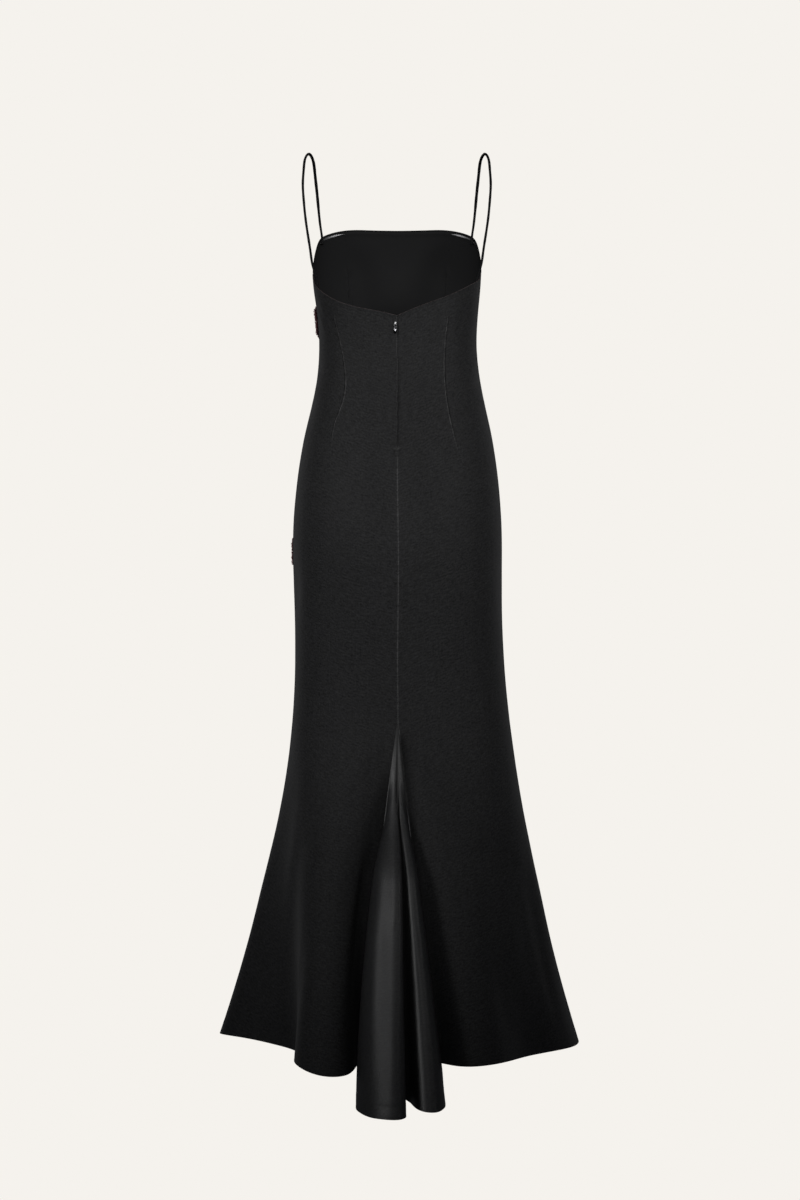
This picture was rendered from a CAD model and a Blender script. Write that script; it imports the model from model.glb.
"""Finished surface of a long black satin mermaid gown: cloth, zip, sewing, embroidery.

Metres, +Z up, +X to the wearer's right, +Y the way the wearer faces, the origin midway
between the tops of the shoulder straps. "Drop" is a depth below that point. Angles
across the back are measured off the centre back, and across the front off the centre
front. The cloth panels follow the same sections and hem tables as their solids.
"""

import math

import bmesh
import bpy
import numpy as np
from mathutils import Matrix, Vector


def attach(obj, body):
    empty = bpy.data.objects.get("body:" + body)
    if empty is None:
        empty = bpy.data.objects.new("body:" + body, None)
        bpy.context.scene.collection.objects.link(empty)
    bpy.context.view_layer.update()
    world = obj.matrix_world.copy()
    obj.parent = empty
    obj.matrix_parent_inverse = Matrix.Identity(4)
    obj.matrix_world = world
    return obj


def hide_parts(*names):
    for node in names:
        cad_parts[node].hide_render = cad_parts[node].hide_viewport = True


bl_info = {
    "name": "Black Satin Mermaid Gown",
    "version": (1, 0, 0),
    "blender": (4, 5, 0),
    "location": "3D View > Sidebar > Gown",
    "description": "Dresses the gown's solids in satin, sewing, zip and embroidery",
    "category": "Add Mesh",
}

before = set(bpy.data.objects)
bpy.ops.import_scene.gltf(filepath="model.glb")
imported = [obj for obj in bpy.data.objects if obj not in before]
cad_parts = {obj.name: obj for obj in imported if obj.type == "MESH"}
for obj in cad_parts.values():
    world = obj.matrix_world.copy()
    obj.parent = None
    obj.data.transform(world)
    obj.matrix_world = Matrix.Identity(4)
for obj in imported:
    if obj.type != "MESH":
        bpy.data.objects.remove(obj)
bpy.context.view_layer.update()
MM = 0.001


def columns(names, rows):
    """A table's columns as arrays, by name."""
    return {name: np.array([row[i] for row in rows], float) for i, name in enumerate(names)}


# ---------------------------------------------------------------- the gown's sizes
SQUARENESS = 0.046
APEX_DROP = 0.8930
PROBE = 0.0004
DROP_PROBE = 0.0005

BODY = columns(
    ("drop", "left", "right", "back", "front"),
    (
        (0.110, 0.1318, 0.1312, 0.0800, 0.1060),
        (0.170, 0.1336, 0.1325, 0.0840, 0.1170),
        (0.205, 0.1332, 0.1315, 0.0865, 0.1170),
        (0.250, 0.1273, 0.1276, 0.0885, 0.1080),
        (0.310, 0.1238, 0.1253, 0.0895, 0.0890),
        (0.370, 0.1293, 0.1326, 0.0960, 0.0885),
        (0.440, 0.1451, 0.1474, 0.1110, 0.0940),
        (0.520, 0.1586, 0.1595, 0.1270, 0.1000),
        (0.600, 0.1647, 0.1647, 0.1340, 0.1040),
        (0.700, 0.1632, 0.1650, 0.1290, 0.1040),
        (0.800, 0.1617, 0.1684, 0.1210, 0.1025),
        (0.880, 0.1649, 0.1756, 0.1195, 0.1030),
        (0.960, 0.1731, 0.1861, 0.1260, 0.1070),
        (1.050, 0.1888, 0.2013, 0.1390, 0.1150),
        (1.150, 0.2126, 0.2222, 0.1560, 0.1290),
        (1.250, 0.2381, 0.2444, 0.1730, 0.1460),
        (1.350, 0.2679, 0.2711, 0.1900, 0.1680),
        (1.410, 0.2875, 0.2886, 0.1990, 0.1830),
    ),
)
BUST_RISE = 0.010
BUST_OUT = 0.068
BUST_DROP = 0.178
BUST_WIDE = 0.040
BUST_TALL = 0.048

EDGE_NAMES = ("off_centre", "drop")
FRONT_EDGE = columns(
    EDGE_NAMES,
    (
        (0.0, 0.1099),
        (20.0, 0.1095),
        (28.0, 0.1096),
        (36.6, 0.1113),
        (46.6, 0.1158),
        (57.7, 0.1230),
        (64.5, 0.1290),
        (70.0, 0.1380),
        (76.0, 0.1520),
        (82.0, 0.1665),
        (90.0, 0.1880),
    ),
)
BACK_EDGE = {
    -1: columns(
        EDGE_NAMES,
        (
            (0.0, 0.2642),
            (11.4, 0.2580),
            (24.6, 0.2520),
            (40.8, 0.2420),
            (55.2, 0.2287),
            (70.6, 0.2136),
            (82.2, 0.2010),
            (90.0, 0.1880),
        ),
    ),
    1: columns(
        EDGE_NAMES,
        (
            (0.0, 0.2642),
            (9.1, 0.2550),
            (17.4, 0.2475),
            (26.5, 0.2395),
            (37.3, 0.2305),
            (50.6, 0.2180),
            (63.7, 0.2083),
            (77.0, 0.1995),
            (90.0, 0.1880),
        ),
    ),
}

HEM_NAMES = ("across", "x", "y", "drop", "growth")
HEM = {
    -1: columns(
        HEM_NAMES,
        (
            (0.000, -0.0485, -0.1965, 1.4050, 1.3),
            (0.028, -0.0585, -0.2030, 1.4080, 1.3),
            (0.075, -0.0635, -0.2220, 1.4120, 1.3),
            (0.121, -0.0710, -0.2400, 1.4160, 1.4),
            (0.181, -0.0930, -0.2500, 1.4190, 1.5),
            (0.247, -0.1200, -0.2450, 1.4170, 1.6),
            (0.324, -0.1450, -0.2250, 1.4100, 1.8),
            (0.413, -0.1570, -0.1900, 1.4030, 2.0),
            (0.512, -0.1500, -0.1500, 1.4000, 2.0),
            (0.575, -0.1570, -0.1250, 1.3985, 1.8),
            (0.700, -0.1890, -0.0850, 1.3950, 1.5),
            (0.847, -0.2400, -0.0450, 1.3900, 1.3),
            (1.000, -0.2797, 0.0000, 1.3890, 1.0),
        ),
    ),
    1: columns(
        HEM_NAMES,
        (
            (0.000, 0.0580, -0.1900, 1.4060, 1.3),
            (0.040, 0.0690, -0.1980, 1.4070, 1.3),
            (0.095, 0.0860, -0.2160, 1.4075, 1.4),
            (0.170, 0.1120, -0.2290, 1.4070, 1.5),
            (0.260, 0.1420, -0.2170, 1.4060, 1.5),
            (0.400, 0.1750, -0.1790, 1.4050, 1.5),
            (0.530, 0.2030, -0.1390, 1.4040, 1.5),
            (0.690, 0.2480, -0.0960, 1.4020, 1.4),
            (0.850, 0.2790, -0.0490, 1.4010, 1.3),
            (1.000, 0.2868, 0.0000, 1.4000, 1.0),
        ),
    ),
}
SEAM_X = {-1: -0.0485, 1: 0.0580}
SEAM_SPREAD = {-1: 1.5, 1: 1.1}

GODET_HEM = columns(
    ("x", "y", "drop", "spread"),
    (
        (-0.0485, -0.1965, 1.4050, 1.50),
        (-0.0415, -0.2010, 1.4090, 1.50),
        (-0.0415, -0.2150, 1.4200, 1.55),
        (-0.0525, -0.2390, 1.4450, 1.70),
        (-0.0611, -0.2620, 1.4590, 1.75),
        (-0.0560, -0.2980, 1.4640, 1.70),
        (-0.0400, -0.3260, 1.4665, 1.60),
        (-0.0180, -0.3420, 1.4670, 1.40),
        (0.0020, -0.3440, 1.4670, 1.15),
        (0.0125, -0.3320, 1.4655, 1.10),
        (0.0085, -0.3120, 1.4610, 0.95),
        (0.0010, -0.2840, 1.4520, 0.90),
        (0.0035, -0.2660, 1.4470, 0.95),
        (0.0135, -0.2710, 1.4500, 1.00),
        (0.0255, -0.2940, 1.4565, 1.05),
        (0.0400, -0.3110, 1.4605, 1.10),
        (0.0560, -0.3110, 1.4615, 1.10),
        (0.0680, -0.2940, 1.4595, 1.10),
        (0.0715, -0.2660, 1.4550, 1.10),
        (0.0630, -0.2320, 1.4350, 1.10),
        (0.0510, -0.2080, 1.4170, 1.10),
        (0.0500, -0.1950, 1.4090, 1.10),
        (0.0580, -0.1900, 1.4060, 1.10),
    ),
)
GODET_GROWTH = 1.2
GODET_EASE = 0.42
EASE_POWER = 3.0
TIP_CROWN = 0.30
TIP_RISE = 0.40
GODET_TIP = 0.006  # share of the godet's length where the finished tip starts

FRONT_HEM = (1.3890, 1.4000)
FRONT_FLUTE = 0.016
FRONT_FLUTE_TURNS = 3.0
FRONT_FLUTE_GROWTH = 1.7

# ---------------------------------------------------------------- sewing
# Darts: x and drop of each one's line as worn, from its top to its point.
DART_NAMES = ("x", "drop")
BACK_DART = {
    -1: columns(
        DART_NAMES,
        ((-0.0992, 0.264), (-0.0850, 0.320), (-0.0862, 0.394), (-0.0950, 0.418), (-0.1034, 0.477)),
    ),
    1: columns(DART_NAMES, ((0.0795, 0.264), (0.0734, 0.340), (0.0791, 0.404), (0.0976, 0.481))),
}
FRONT_DART = {
    -1: columns(
        DART_NAMES, ((-0.0820, 0.178), (-0.0730, 0.300), (-0.0770, 0.360), (-0.0860, 0.445))
    ),
    1: columns(DART_NAMES, ((0.0810, 0.176), (0.0725, 0.300), (0.0760, 0.360), (0.0855, 0.448))),
}
DART_GROOVE = 0.55 * MM
DART_SOFT = 0.9 * MM
DART_STEP = 0.45 * MM  # the folded cloth lifts one side of its line
DART_FOLD = 9.0 * MM
DART_PUCKER = 0.22 * MM
DART_WAVES = (540.0, 260.0)  # of the puckers, down and across, in radians a metre
DART_REACH = 5.0 * MM
DART_TOP_FADE = (0.006, 0.012)  # how far past its end a line runs, and its fade
DART_POINT_FADE = (0.002, 0.05)
DART_DIMPLE = (0.9 * MM, 4.0 * MM)  # depth and width at its point
DART_DARK = (0.4 * MM, 1.0 * MM)  # place beside the line and width of its dark line
DART_BRIGHT = (1.5 * MM, 0.8 * MM)  # the same of the pressed line on the other side
DART_UNEVEN = (0.3, 410.0, 2.0, 97.0)
SEAM_DIP = 0.8 * MM
SEAM_SOFT = 1.5 * MM
SEAM_DARK = 0.5 * MM
EDGE_ROLL = 0.35 * MM
EDGE_SOFT = 1.6 * MM
EDGE_AT = 1.4 * MM  # a turned edge's roll lies this far in, and its dip farther
EDGE_DIP_AT = 4.2 * MM
HEM_STEP = 0.22 * MM
HEM_STEP_WIDE = 3.0 * MM
HEM_ROLL_AT = 1.2 * MM
FOLDED_EDGE = 0.9 * MM  # extra cloth inside a turned neck edge
FOLD_WIDE = 6.0 * MM
FOLD_FADE = 2.0 * MM
WAVER = 0.22 * MM
GODET_WAVER = 0.2 * MM
NEAR = np.array([0.0, 0.0012, 0.0028, 0.0052, 0.009, 0.015])  # crowding round a seam
DART_NEAR = np.array([0.0, 0.002, 0.0045, 0.008, 0.013, 0.020, 0.030])
TOP_ROWS = np.array([0.0, 0.0004, 0.0009, 0.0016, 0.0026, 0.004, 0.006, 0.009])
HEM_ROWS = np.array([0.0, 0.0005, 0.0012, 0.0024, 0.0045, 0.0085, 0.0160, 0.0172, 0.0184])

# Creases: start and end on the panel, half width and height (troughs are below zero).
CREASE_NAMES = ("across", "drop", "end_across", "end_drop", "width", "height")
BACK_CREASES = {
    -1: columns(
        CREASE_NAMES,
        (
            (0.78, 0.640, 0.86, 0.735, 0.030, -0.0030),
            (0.70, 0.248, 0.52, 0.285, 0.005, -0.0010),
            (0.76, 0.236, 0.62, 0.268, 0.004, 0.0008),
            (0.86, 0.245, 0.60, 0.300, 0.006, 0.0009),
            (0.96, 0.330, 0.62, 0.352, 0.007, -0.0011),
            (0.94, 0.372, 0.68, 0.380, 0.006, 0.0010),
            (0.97, 0.410, 0.74, 0.398, 0.008, -0.0011),
            (0.93, 0.452, 0.80, 0.440, 0.006, 0.0007),
            (0.06, 0.480, 0.20, 0.520, 0.009, -0.0010),
            (0.08, 0.300, 0.22, 0.322, 0.005, 0.0006),
            (0.05, 0.352, 0.16, 0.360, 0.004, -0.0005),
            (0.05, 0.700, 0.22, 0.760, 0.016, 0.0008),
            (0.03, 0.900, 0.16, 1.060, 0.016, -0.0022),
            (0.62, 1.010, 0.70, 1.230, 0.022, 0.0022),
            (0.86, 1.060, 0.90, 1.330, 0.020, -0.0018),
            (0.25, 1.180, 0.27, 1.370, 0.012, -0.0012),
            (0.06, 0.960, 0.12, 1.400, 0.023, -0.0130),
            (0.20, 0.960, 0.42, 1.160, 0.026, 0.0030),
            (0.40, 1.230, 0.42, 1.400, 0.014, -0.0020),
        ),
    ),
    1: columns(
        CREASE_NAMES,
        (
            (0.66, 0.240, 0.50, 0.290, 0.005, -0.0009),
            (0.95, 0.318, 0.64, 0.345, 0.006, 0.0010),
            (0.97, 0.352, 0.66, 0.366, 0.007, -0.0011),
            (0.94, 0.396, 0.72, 0.392, 0.006, 0.0009),
            (0.90, 0.430, 0.78, 0.440, 0.005, -0.0006),
            (0.05, 0.482, 0.17, 0.530, 0.009, -0.0009),
            (0.06, 0.322, 0.20, 0.312, 0.005, -0.0006),
            (0.05, 0.400, 0.14, 0.408, 0.004, 0.0005),
            (0.04, 0.905, 0.20, 0.990, 0.018, -0.0026),
            (0.90, 0.620, 0.93, 0.760, 0.030, -0.0018),
            (0.36, 1.150, 0.40, 1.370, 0.018, -0.0022),
            (0.50, 1.090, 0.56, 1.360, 0.022, 0.0026),
            (0.72, 1.130, 0.74, 1.380, 0.016, -0.0024),
            (0.83, 1.060, 0.86, 1.300, 0.015, 0.0020),
            (0.95, 1.180, 0.96, 1.360, 0.012, -0.0012),
        ),
    ),
}
GODET_CREASES = columns(
    CREASE_NAMES,
    (
        (0.820, 1.395, 0.800, 1.440, 0.010, -0.0022),
        (0.860, 1.380, 0.850, 1.435, 0.007, 0.0018),
        (0.280, 1.150, 0.300, 1.400, 0.012, 0.0010),
        (0.390, 1.200, 0.400, 1.445, 0.009, -0.0009),
        (0.690, 1.120, 0.710, 1.330, 0.008, 0.0009),
        (0.520, 0.925, 0.547, 1.180, 0.0032, -0.0042),
        (0.400, 0.960, 0.383, 1.450, 0.0100, 0.0034),
        (0.620, 0.930, 0.643, 1.130, 0.0028, 0.0012),
    ),
)
FRONT_CREASES = columns(
    CREASE_NAMES,
    (
        (0.03, 0.245, 0.20, 0.205, 0.008, -0.0010),
        (0.97, 0.250, 0.81, 0.208, 0.008, -0.0009),
        (0.04, 0.330, 0.18, 0.318, 0.008, -0.0008),
        (0.96, 0.342, 0.80, 0.330, 0.009, 0.0008),
        (0.06, 0.372, 0.22, 0.378, 0.007, 0.0006),
        (0.10, 0.520, 0.34, 0.560, 0.016, -0.0014),
        (0.90, 0.535, 0.70, 0.570, 0.018, -0.0012),
        (0.44, 0.480, 0.58, 0.492, 0.012, 0.0006),
        (0.20, 0.860, 0.32, 0.930, 0.022, -0.0016),
        (0.80, 0.850, 0.66, 0.935, 0.020, -0.0018),
        (0.36, 1.120, 0.34, 1.370, 0.018, 0.0022),
        (0.62, 1.160, 0.64, 1.380, 0.016, -0.0020),
        (0.14, 1.140, 0.10, 1.360, 0.018, -0.0020),
        (0.88, 1.100, 0.92, 1.370, 0.020, 0.0018),
    ),
)

# ---------------------------------------------------------------- straps
STRAP_SIDES = 20
STRAP_STATIONS = 180
STRAP_SEAM = 0.16  # share of the radius that the seam dips
STRAP_WIDER = (0.12, 0.20)  # shares that its run is wider by, and its front run besides
RIGHT_STRAP_SCALE = 0.985
STRAP = columns(
    ("x", "y", "drop"),
    (
        (-0.1198, 0.0460, 0.1385),
        (-0.1202, 0.0466, 0.1290),
        (-0.1214, 0.0487, 0.1195),
        (-0.1228, 0.0500, 0.1105),
        (-0.1255, 0.0490, 0.0870),
        (-0.1283, 0.0415, 0.0560),
        (-0.1315, 0.0280, 0.0245),
        (-0.1345, 0.0140, 0.0065),
        (-0.1400, 0.0000, 0.0004),
        (-0.1450, -0.0120, 0.0080),
        (-0.1475, -0.0220, 0.0280),
        (-0.1487, -0.0280, 0.0500),
        (-0.1474, -0.0320, 0.0750),
        (-0.1450, -0.0320, 0.1010),
        (-0.1402, -0.0280, 0.1350),
        (-0.1370, -0.0245, 0.1560),
        (-0.1322, -0.0228, 0.1835),
        (-0.1285, -0.0225, 0.1945),
        (-0.1263, -0.0227, 0.2030),
        (-0.1253, -0.0230, 0.2150),
    ),
)

# ---------------------------------------------------------------- camera and stage
CAMERA_PLACE = (0.004, -4.8, -0.705)
LENS = 91.14
FLOOR_DROP = 1.474
PALE = (0.913, 0.888, 0.847)


# ---------------------------------------------------------------- curves
def second_differences(knots, values, first, last):
    """Second derivatives of the cubic spline through the rows, ends free or sloped."""
    count = len(knots)
    gap = np.diff(knots)
    system = np.eye(count)
    right = np.zeros_like(values)
    for i in range(1, count - 1):
        system[i, i - 1] = gap[i - 1]
        system[i, i] = 2.0 * (gap[i - 1] + gap[i])
        system[i, i + 1] = gap[i]
        rise = (values[i + 1] - values[i]) / gap[i]
        fall = (values[i] - values[i - 1]) / gap[i - 1]
        right[i] = 6.0 * (rise - fall)
    if first is not None:
        system[0, 0] = 2.0 * gap[0]
        system[0, 1] = gap[0]
        right[0] = 6.0 * ((values[1] - values[0]) / gap[0] - first)
    if last is not None:
        system[-1, -1] = 2.0 * gap[-1]
        system[-1, -2] = gap[-1]
        right[-1] = 6.0 * (last - (values[-1] - values[-2]) / gap[-1])
    return np.linalg.solve(system, right)


def spline(knots, values, places, first=None, last=None):
    """The cubic spline through the rows, at the places, straight on past its ends."""
    knots = np.asarray(knots, float)
    values = np.asarray(values, float)
    places = np.asarray(places, float)
    bends = second_differences(knots, values, first, last)
    inside = np.clip(places, knots[0], knots[-1])
    cell = np.clip(np.searchsorted(knots, inside) - 1, 0, len(knots) - 2)
    extra = (values.ndim - 1) * (1,)
    width = (knots[cell + 1] - knots[cell]).reshape(cell.shape + extra)
    after = (inside - knots[cell]).reshape(cell.shape + extra)
    before = (knots[cell + 1] - inside).reshape(cell.shape + extra)
    past = (places - inside).reshape(places.shape + extra)
    low_bend = bends[cell]
    high_bend = bends[cell + 1]
    low = values[cell]
    high = values[cell + 1]
    curve = (low_bend * before**3 + high_bend * after**3) / (6.0 * width)
    curve += (low / width - low_bend * width / 6.0) * before
    curve += (high / width - high_bend * width / 6.0) * after
    slope = (high_bend * after**2 - low_bend * before**2) / (2.0 * width)
    slope += (high - low) / width - (high_bend - low_bend) * width / 6.0
    return curve + slope * past


def body_size(name, drop):
    """One of the body section's sizes at each drop."""
    return spline(BODY["drop"], BODY[name], drop)


def smooth_step(value, end):
    """0 at 0 and 1 from `end` on, with no kink at either."""
    share = np.clip(value / end, 0.0, 1.0)
    return share * share * (3.0 - 2.0 * share)


def uneven(drop, share, quick, sway, slow):
    """A strength up to 1 that comes and goes by a share, in swaying waves."""
    return 1.0 - share + share * np.sin(drop * quick + sway * np.sin(drop * slow))


def spread(share, power):
    """Sideways growth from the apex (0) to the hem (1): an early start for power > 1."""
    return 1.0 - (1.0 - np.clip(share, 0.0, 1.0)) ** power


def bell(gap, width):
    """A soft bump, 1 in its middle."""
    return np.exp(-((gap / width) ** 2))


def unit(vectors):
    """The vectors at length 1."""
    return vectors / np.linalg.norm(vectors, axis=-1, keepdims=True)


# ---------------------------------------------------------------- the cloth's surfaces
def section(angle, drop, depth_name):
    """A point of the body section: across and depth, both without flutes."""
    left = body_size("left", drop)
    right = body_size("right", drop)
    depth = body_size(depth_name, drop)
    sine = np.sin(angle)
    bulge = 1.0 + SQUARENESS * np.sin(2.0 * angle) ** 2
    width = 0.5 * (left + right) + 0.5 * (right - left) * sine
    return width * sine * bulge, depth * np.cos(angle) * bulge


def front_point(side, drop):
    """The front's outer face. `side` runs from -1 at the left seam to 1 at the right."""
    angle = side * math.pi / 2.0
    x, y = section(angle, drop, "front")
    inward = (np.abs(x) - BUST_OUT) / BUST_WIDE
    upward = (drop - BUST_DROP) / BUST_TALL
    y = y + BUST_RISE * np.exp(-(inward**2) - upward**2) * np.cos(angle) ** 2
    share = np.clip((drop - APEX_DROP) / (FRONT_HEM[0] - APEX_DROP), 0.0, 1.2)
    calm = (1.0 - side**2) ** 2
    flute = FRONT_FLUTE * calm * np.cos(FRONT_FLUTE_TURNS * math.pi * side)
    flute = flute * share**FRONT_FLUTE_GROWTH
    x = x + flute * np.sin(angle)
    y = y + flute * np.cos(angle)
    return np.stack([x, y, -drop], axis=-1)


def godet_seam(sign, share):
    """Where the godet is sewn to one back panel: x, y, angle off centre back, drop."""
    drop = APEX_DROP + (HEM[sign]["drop"][0] - APEX_DROP) * share
    wanted = abs(SEAM_X[sign]) * spread(share, SEAM_SPREAD[sign])
    width = body_size("right" if sign > 0 else "left", drop)
    angle = np.arcsin(np.clip(wanted / width, 0.0, 0.9))
    x, y = section(sign * angle, drop, "back")
    return x, -y, angle, drop


def back_body(sign, across, drop, share):
    """A back panel without its flutes."""
    start = godet_seam(sign, np.clip(share, 0.0, 1.0))[2]
    angle = start + (math.pi / 2.0 - start) * across
    x, y = section(sign * angle, drop, "back")
    return x, -y


def back_point(sign, across, drop):
    """A back panel's outer face. `across` is 0 at centre back and 1 at the side seam."""
    hem = HEM[sign]
    knots = hem["across"]
    hem_drop = spline(knots, hem["drop"], across)
    share = np.clip((drop - APEX_DROP) / (hem_drop - APEX_DROP), 0.0, 1.1)
    x, y = back_body(sign, across, drop, share)
    plain_x, plain_y = back_body(sign, knots, hem["drop"], np.ones_like(knots))
    push_x = hem["x"] - plain_x
    push_y = hem["y"] - plain_y
    push_x[[0, -1]] = 0.0
    push_y[[0, -1]] = 0.0
    reach = spline(knots, np.eye(len(knots)), across, 0.0, 0.0)
    grown = reach * share[..., None] ** hem["growth"]
    return np.stack([x + grown @ push_x, y + grown @ push_y, -drop], axis=-1)


def section_line(sign, angle, drop):
    """Unit direction of the back section at an angle, toward the wearer's right."""
    x_low, y_low = section(sign * angle - PROBE, drop, "back")
    x_high, y_high = section(sign * angle + PROBE, drop, "back")
    return unit(np.stack([x_high - x_low, y_low - y_high, np.zeros_like(x_low)], axis=-1))


def godet_point(across, share):
    """The godet's outer face from its left seam (0) to its right seam (1)."""
    hem = GODET_HEM
    steps = np.hypot(np.diff(hem["x"]), np.diff(hem["y"]))
    knots = np.concatenate([[0.0], np.cumsum(steps)])
    knots = knots / knots[-1]
    left_x, left_y, left_angle, left_drop = godet_seam(-1, share)
    right_x, right_y, right_angle, right_drop = godet_seam(1, share)
    seam_y = left_y[..., None] * (1.0 - knots) + right_y[..., None] * knots
    hem_seam_y = hem["y"][0] * (1.0 - knots) + hem["y"][-1] * knots
    x = hem["x"] * spread(share[..., None], hem["spread"])
    y = seam_y + (hem["y"] - hem_seam_y) * share[..., None] ** GODET_GROWTH
    drop = APEX_DROP + (hem["drop"] - APEX_DROP) * share[..., None]
    # The tip: one soft wave between the two seams, before the folds open.
    tip_width = (right_x - left_x)[..., None]
    tip_x = left_x[..., None] + tip_width * knots
    crown = TIP_CROWN * smooth_step(share, TIP_RISE)[..., None]
    tip_y = seam_y - crown * tip_width * np.sin(math.pi * knots) ** 2
    tip_drop = left_drop[..., None] * (1.0 - knots) + right_drop[..., None] * knots
    ease = smooth_step(share, GODET_EASE)[..., None] ** EASE_POWER
    x = tip_x * (1.0 - ease) + x * ease
    y = tip_y * (1.0 - ease) + y * ease
    drop = tip_drop * (1.0 - ease) + drop * ease
    rows = np.stack([x, y, -drop], axis=-1)
    rows[..., 0, :] = np.stack([left_x, left_y, -left_drop], axis=-1)
    rows[..., -1, :] = np.stack([right_x, right_y, -right_drop], axis=-1)
    # Both ends leave their seam along the back panel's own line.
    first_gap = np.linalg.norm(rows[..., 1, :] - rows[..., 0, :], axis=-1) / knots[1]
    last_gap = np.linalg.norm(rows[..., -1, :] - rows[..., -2, :], axis=-1)
    last_gap = last_gap / (1.0 - knots[-2])
    left_line = section_line(-1, left_angle, left_drop) * first_gap[..., None]
    right_line = section_line(1, right_angle, right_drop) * last_gap[..., None]
    reach = spline(knots, np.eye(len(knots)), across, 0.0, 0.0)
    none = np.zeros(len(knots))
    from_left = spline(knots, none, across, 1.0, 0.0)[..., None]
    from_right = spline(knots, none, across, 0.0, 1.0)[..., None]
    points = np.einsum("...k,...kd->...d", reach, rows)
    return points + from_left * left_line + from_right * right_line


# ---------------------------------------------------------------- grids of the panels
def crowded(count, lines):
    """Places from 0 to 1, even ones with more of them drawn round some lines."""
    near = [np.array([0.0, 1.0])]
    for middle, steps in lines:
        near += [middle + steps, middle - steps]
    near = np.unique(np.round(np.concatenate(near), 7))
    near = near[(near >= 0.0) & (near <= 1.0)]
    even = np.linspace(0.0, 1.0, count)
    gap = np.abs(even[:, None] - near[None, :]).min(axis=1)
    return np.sort(np.concatenate([near, even[gap > 0.6 / count]]))


def down_rows(count, top_rows, hem_rows):
    """Shares down a panel, crowded at its turned top edge and its hem."""
    even = np.linspace(0.0, 1.0, count)
    keep = (even > top_rows[-1] + 0.4 / count) & (even < 1.0 - hem_rows[-1] - 0.4 / count)
    return np.concatenate([top_rows, even[keep], 1.0 - hem_rows[::-1]])


def line_places(dart, surface, drop, low, high):
    """Where on a panel a dart's line runs: its place across at each drop."""
    sample = np.linspace(low, high, 160)
    places = []
    for x, depth in zip(dart["x"], dart["drop"]):
        reach = np.abs(surface(sample, np.full_like(sample, depth))[:, 0])
        order = np.argsort(reach)
        places.append(np.interp(abs(x), reach[order], sample[order]))
    held = np.clip(drop, dart["drop"][0], dart["drop"][-1])
    return spline(dart["drop"], np.array(places), held)


def edge_drop(edge, degrees):
    """Drop of a top edge at an angle off centre."""
    return spline(edge["off_centre"], edge["drop"], degrees)


def arc_lengths(points, axis):
    """Length run along the grid in one direction, from its first row or column."""
    steps = np.linalg.norm(np.diff(points, axis=axis), axis=-1)
    start = np.zeros_like(np.take(steps, [0], axis=axis))
    return np.concatenate([start, np.cumsum(steps, axis=axis)], axis=axis)


def grid_normals(points, sign):
    """Unit normals of a grid of points."""
    over = np.gradient(points, axis=1)
    under = np.gradient(points, axis=0)
    return unit(np.cross(over, under) * sign)


def crease_relief(creases, across, drop, girth):
    """Height of the hand-placed creases of a panel."""
    height = np.zeros_like(drop)
    for row in zip(*(creases[name] for name in CREASE_NAMES)):
        start, top, end, bottom, width, rise = row
        run = (across - start) * girth
        fall = drop - top
        run_all = (end - start) * girth
        fall_all = bottom - top
        share = (run * run_all + fall * fall_all) / (run_all**2 + fall_all**2)
        share = np.clip(share, 0.0, 1.0)
        gap = np.hypot(run - share * run_all, fall - share * fall_all)
        taper = 0.25 + 0.75 * np.sin(math.pi * share)
        height += rise * taper * bell(gap, width)
    seam_gap = np.minimum(across, 1.0 - across) * girth
    return height * smooth_step(seam_gap, 14.0 * MM)


def dart_relief(run, line, drop, dart, sign):
    """Groove, folded step and puckers of one dart; and its dark and bright lines."""
    gap = run - line
    point = dart["drop"][-1]
    held = smooth_step(drop - dart["drop"][0] + DART_TOP_FADE[0], DART_TOP_FADE[1])
    held = held * smooth_step(point - drop + DART_POINT_FADE[0], DART_POINT_FADE[1])
    groove = -DART_GROOVE * bell(gap, DART_SOFT)
    beside = np.clip(-gap * sign, 0.0, None)
    step = DART_STEP * (1.0 - bell(beside, DART_SOFT)) * bell(beside, DART_FOLD)
    waves = np.sin(drop * DART_WAVES[0] + gap * DART_WAVES[1])
    pucker = DART_PUCKER * waves * bell(gap, DART_REACH)
    end = -DART_DIMPLE[0] * bell(np.hypot(gap, drop - point), DART_DIMPLE[1])
    strength = uneven(drop, *DART_UNEVEN)
    dark = bell(gap - DART_DARK[0] * sign, DART_DARK[1]) * held * strength
    bright = bell(gap + DART_BRIGHT[0] * sign, DART_BRIGHT[1]) * held * (1.4 - strength)
    return (groove + step + pucker) * held + end, dark, bright


def cloth_waver(run, drop, scale):
    """The slight unevenness of hanging cloth, in waves of so many radians a metre."""
    slow = np.sin(run * 41.0 + 1.3 * np.sin(drop * 17.0)) * np.sin(drop * 23.0 + 0.7)
    quick = np.sin(run * 97.0 - drop * 31.0) * np.sin(drop * 61.0 + run * 29.0)
    return scale * (0.7 * slow + 0.3 * quick)


def sewn_relief(run, fall, top_edge=True):
    """Height of both seams, turned edge and hem; and how dark the seams are."""
    height = np.zeros_like(run)
    sewn = np.zeros_like(run)
    for gap in (run, run[:, -1:] - run):
        height -= SEAM_DIP * bell(gap, SEAM_SOFT)
        sewn = np.maximum(sewn, bell(gap, SEAM_DARK))
    if top_edge:
        height += EDGE_ROLL * bell(fall - EDGE_AT, EDGE_SOFT)
        height -= 0.3 * EDGE_ROLL * bell(fall - EDGE_DIP_AT, 1.0 * MM)
    up = fall[-1:, :] - fall
    past_turn = up - bpy.context.scene.gown.hem_depth + 0.5 * HEM_STEP_WIDE
    height += HEM_STEP * (1.0 - smooth_step(past_turn, HEM_STEP_WIDE))
    height += 0.5 * EDGE_ROLL * bell(up - HEM_ROLL_AT, EDGE_SOFT)
    return height, sewn


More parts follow.
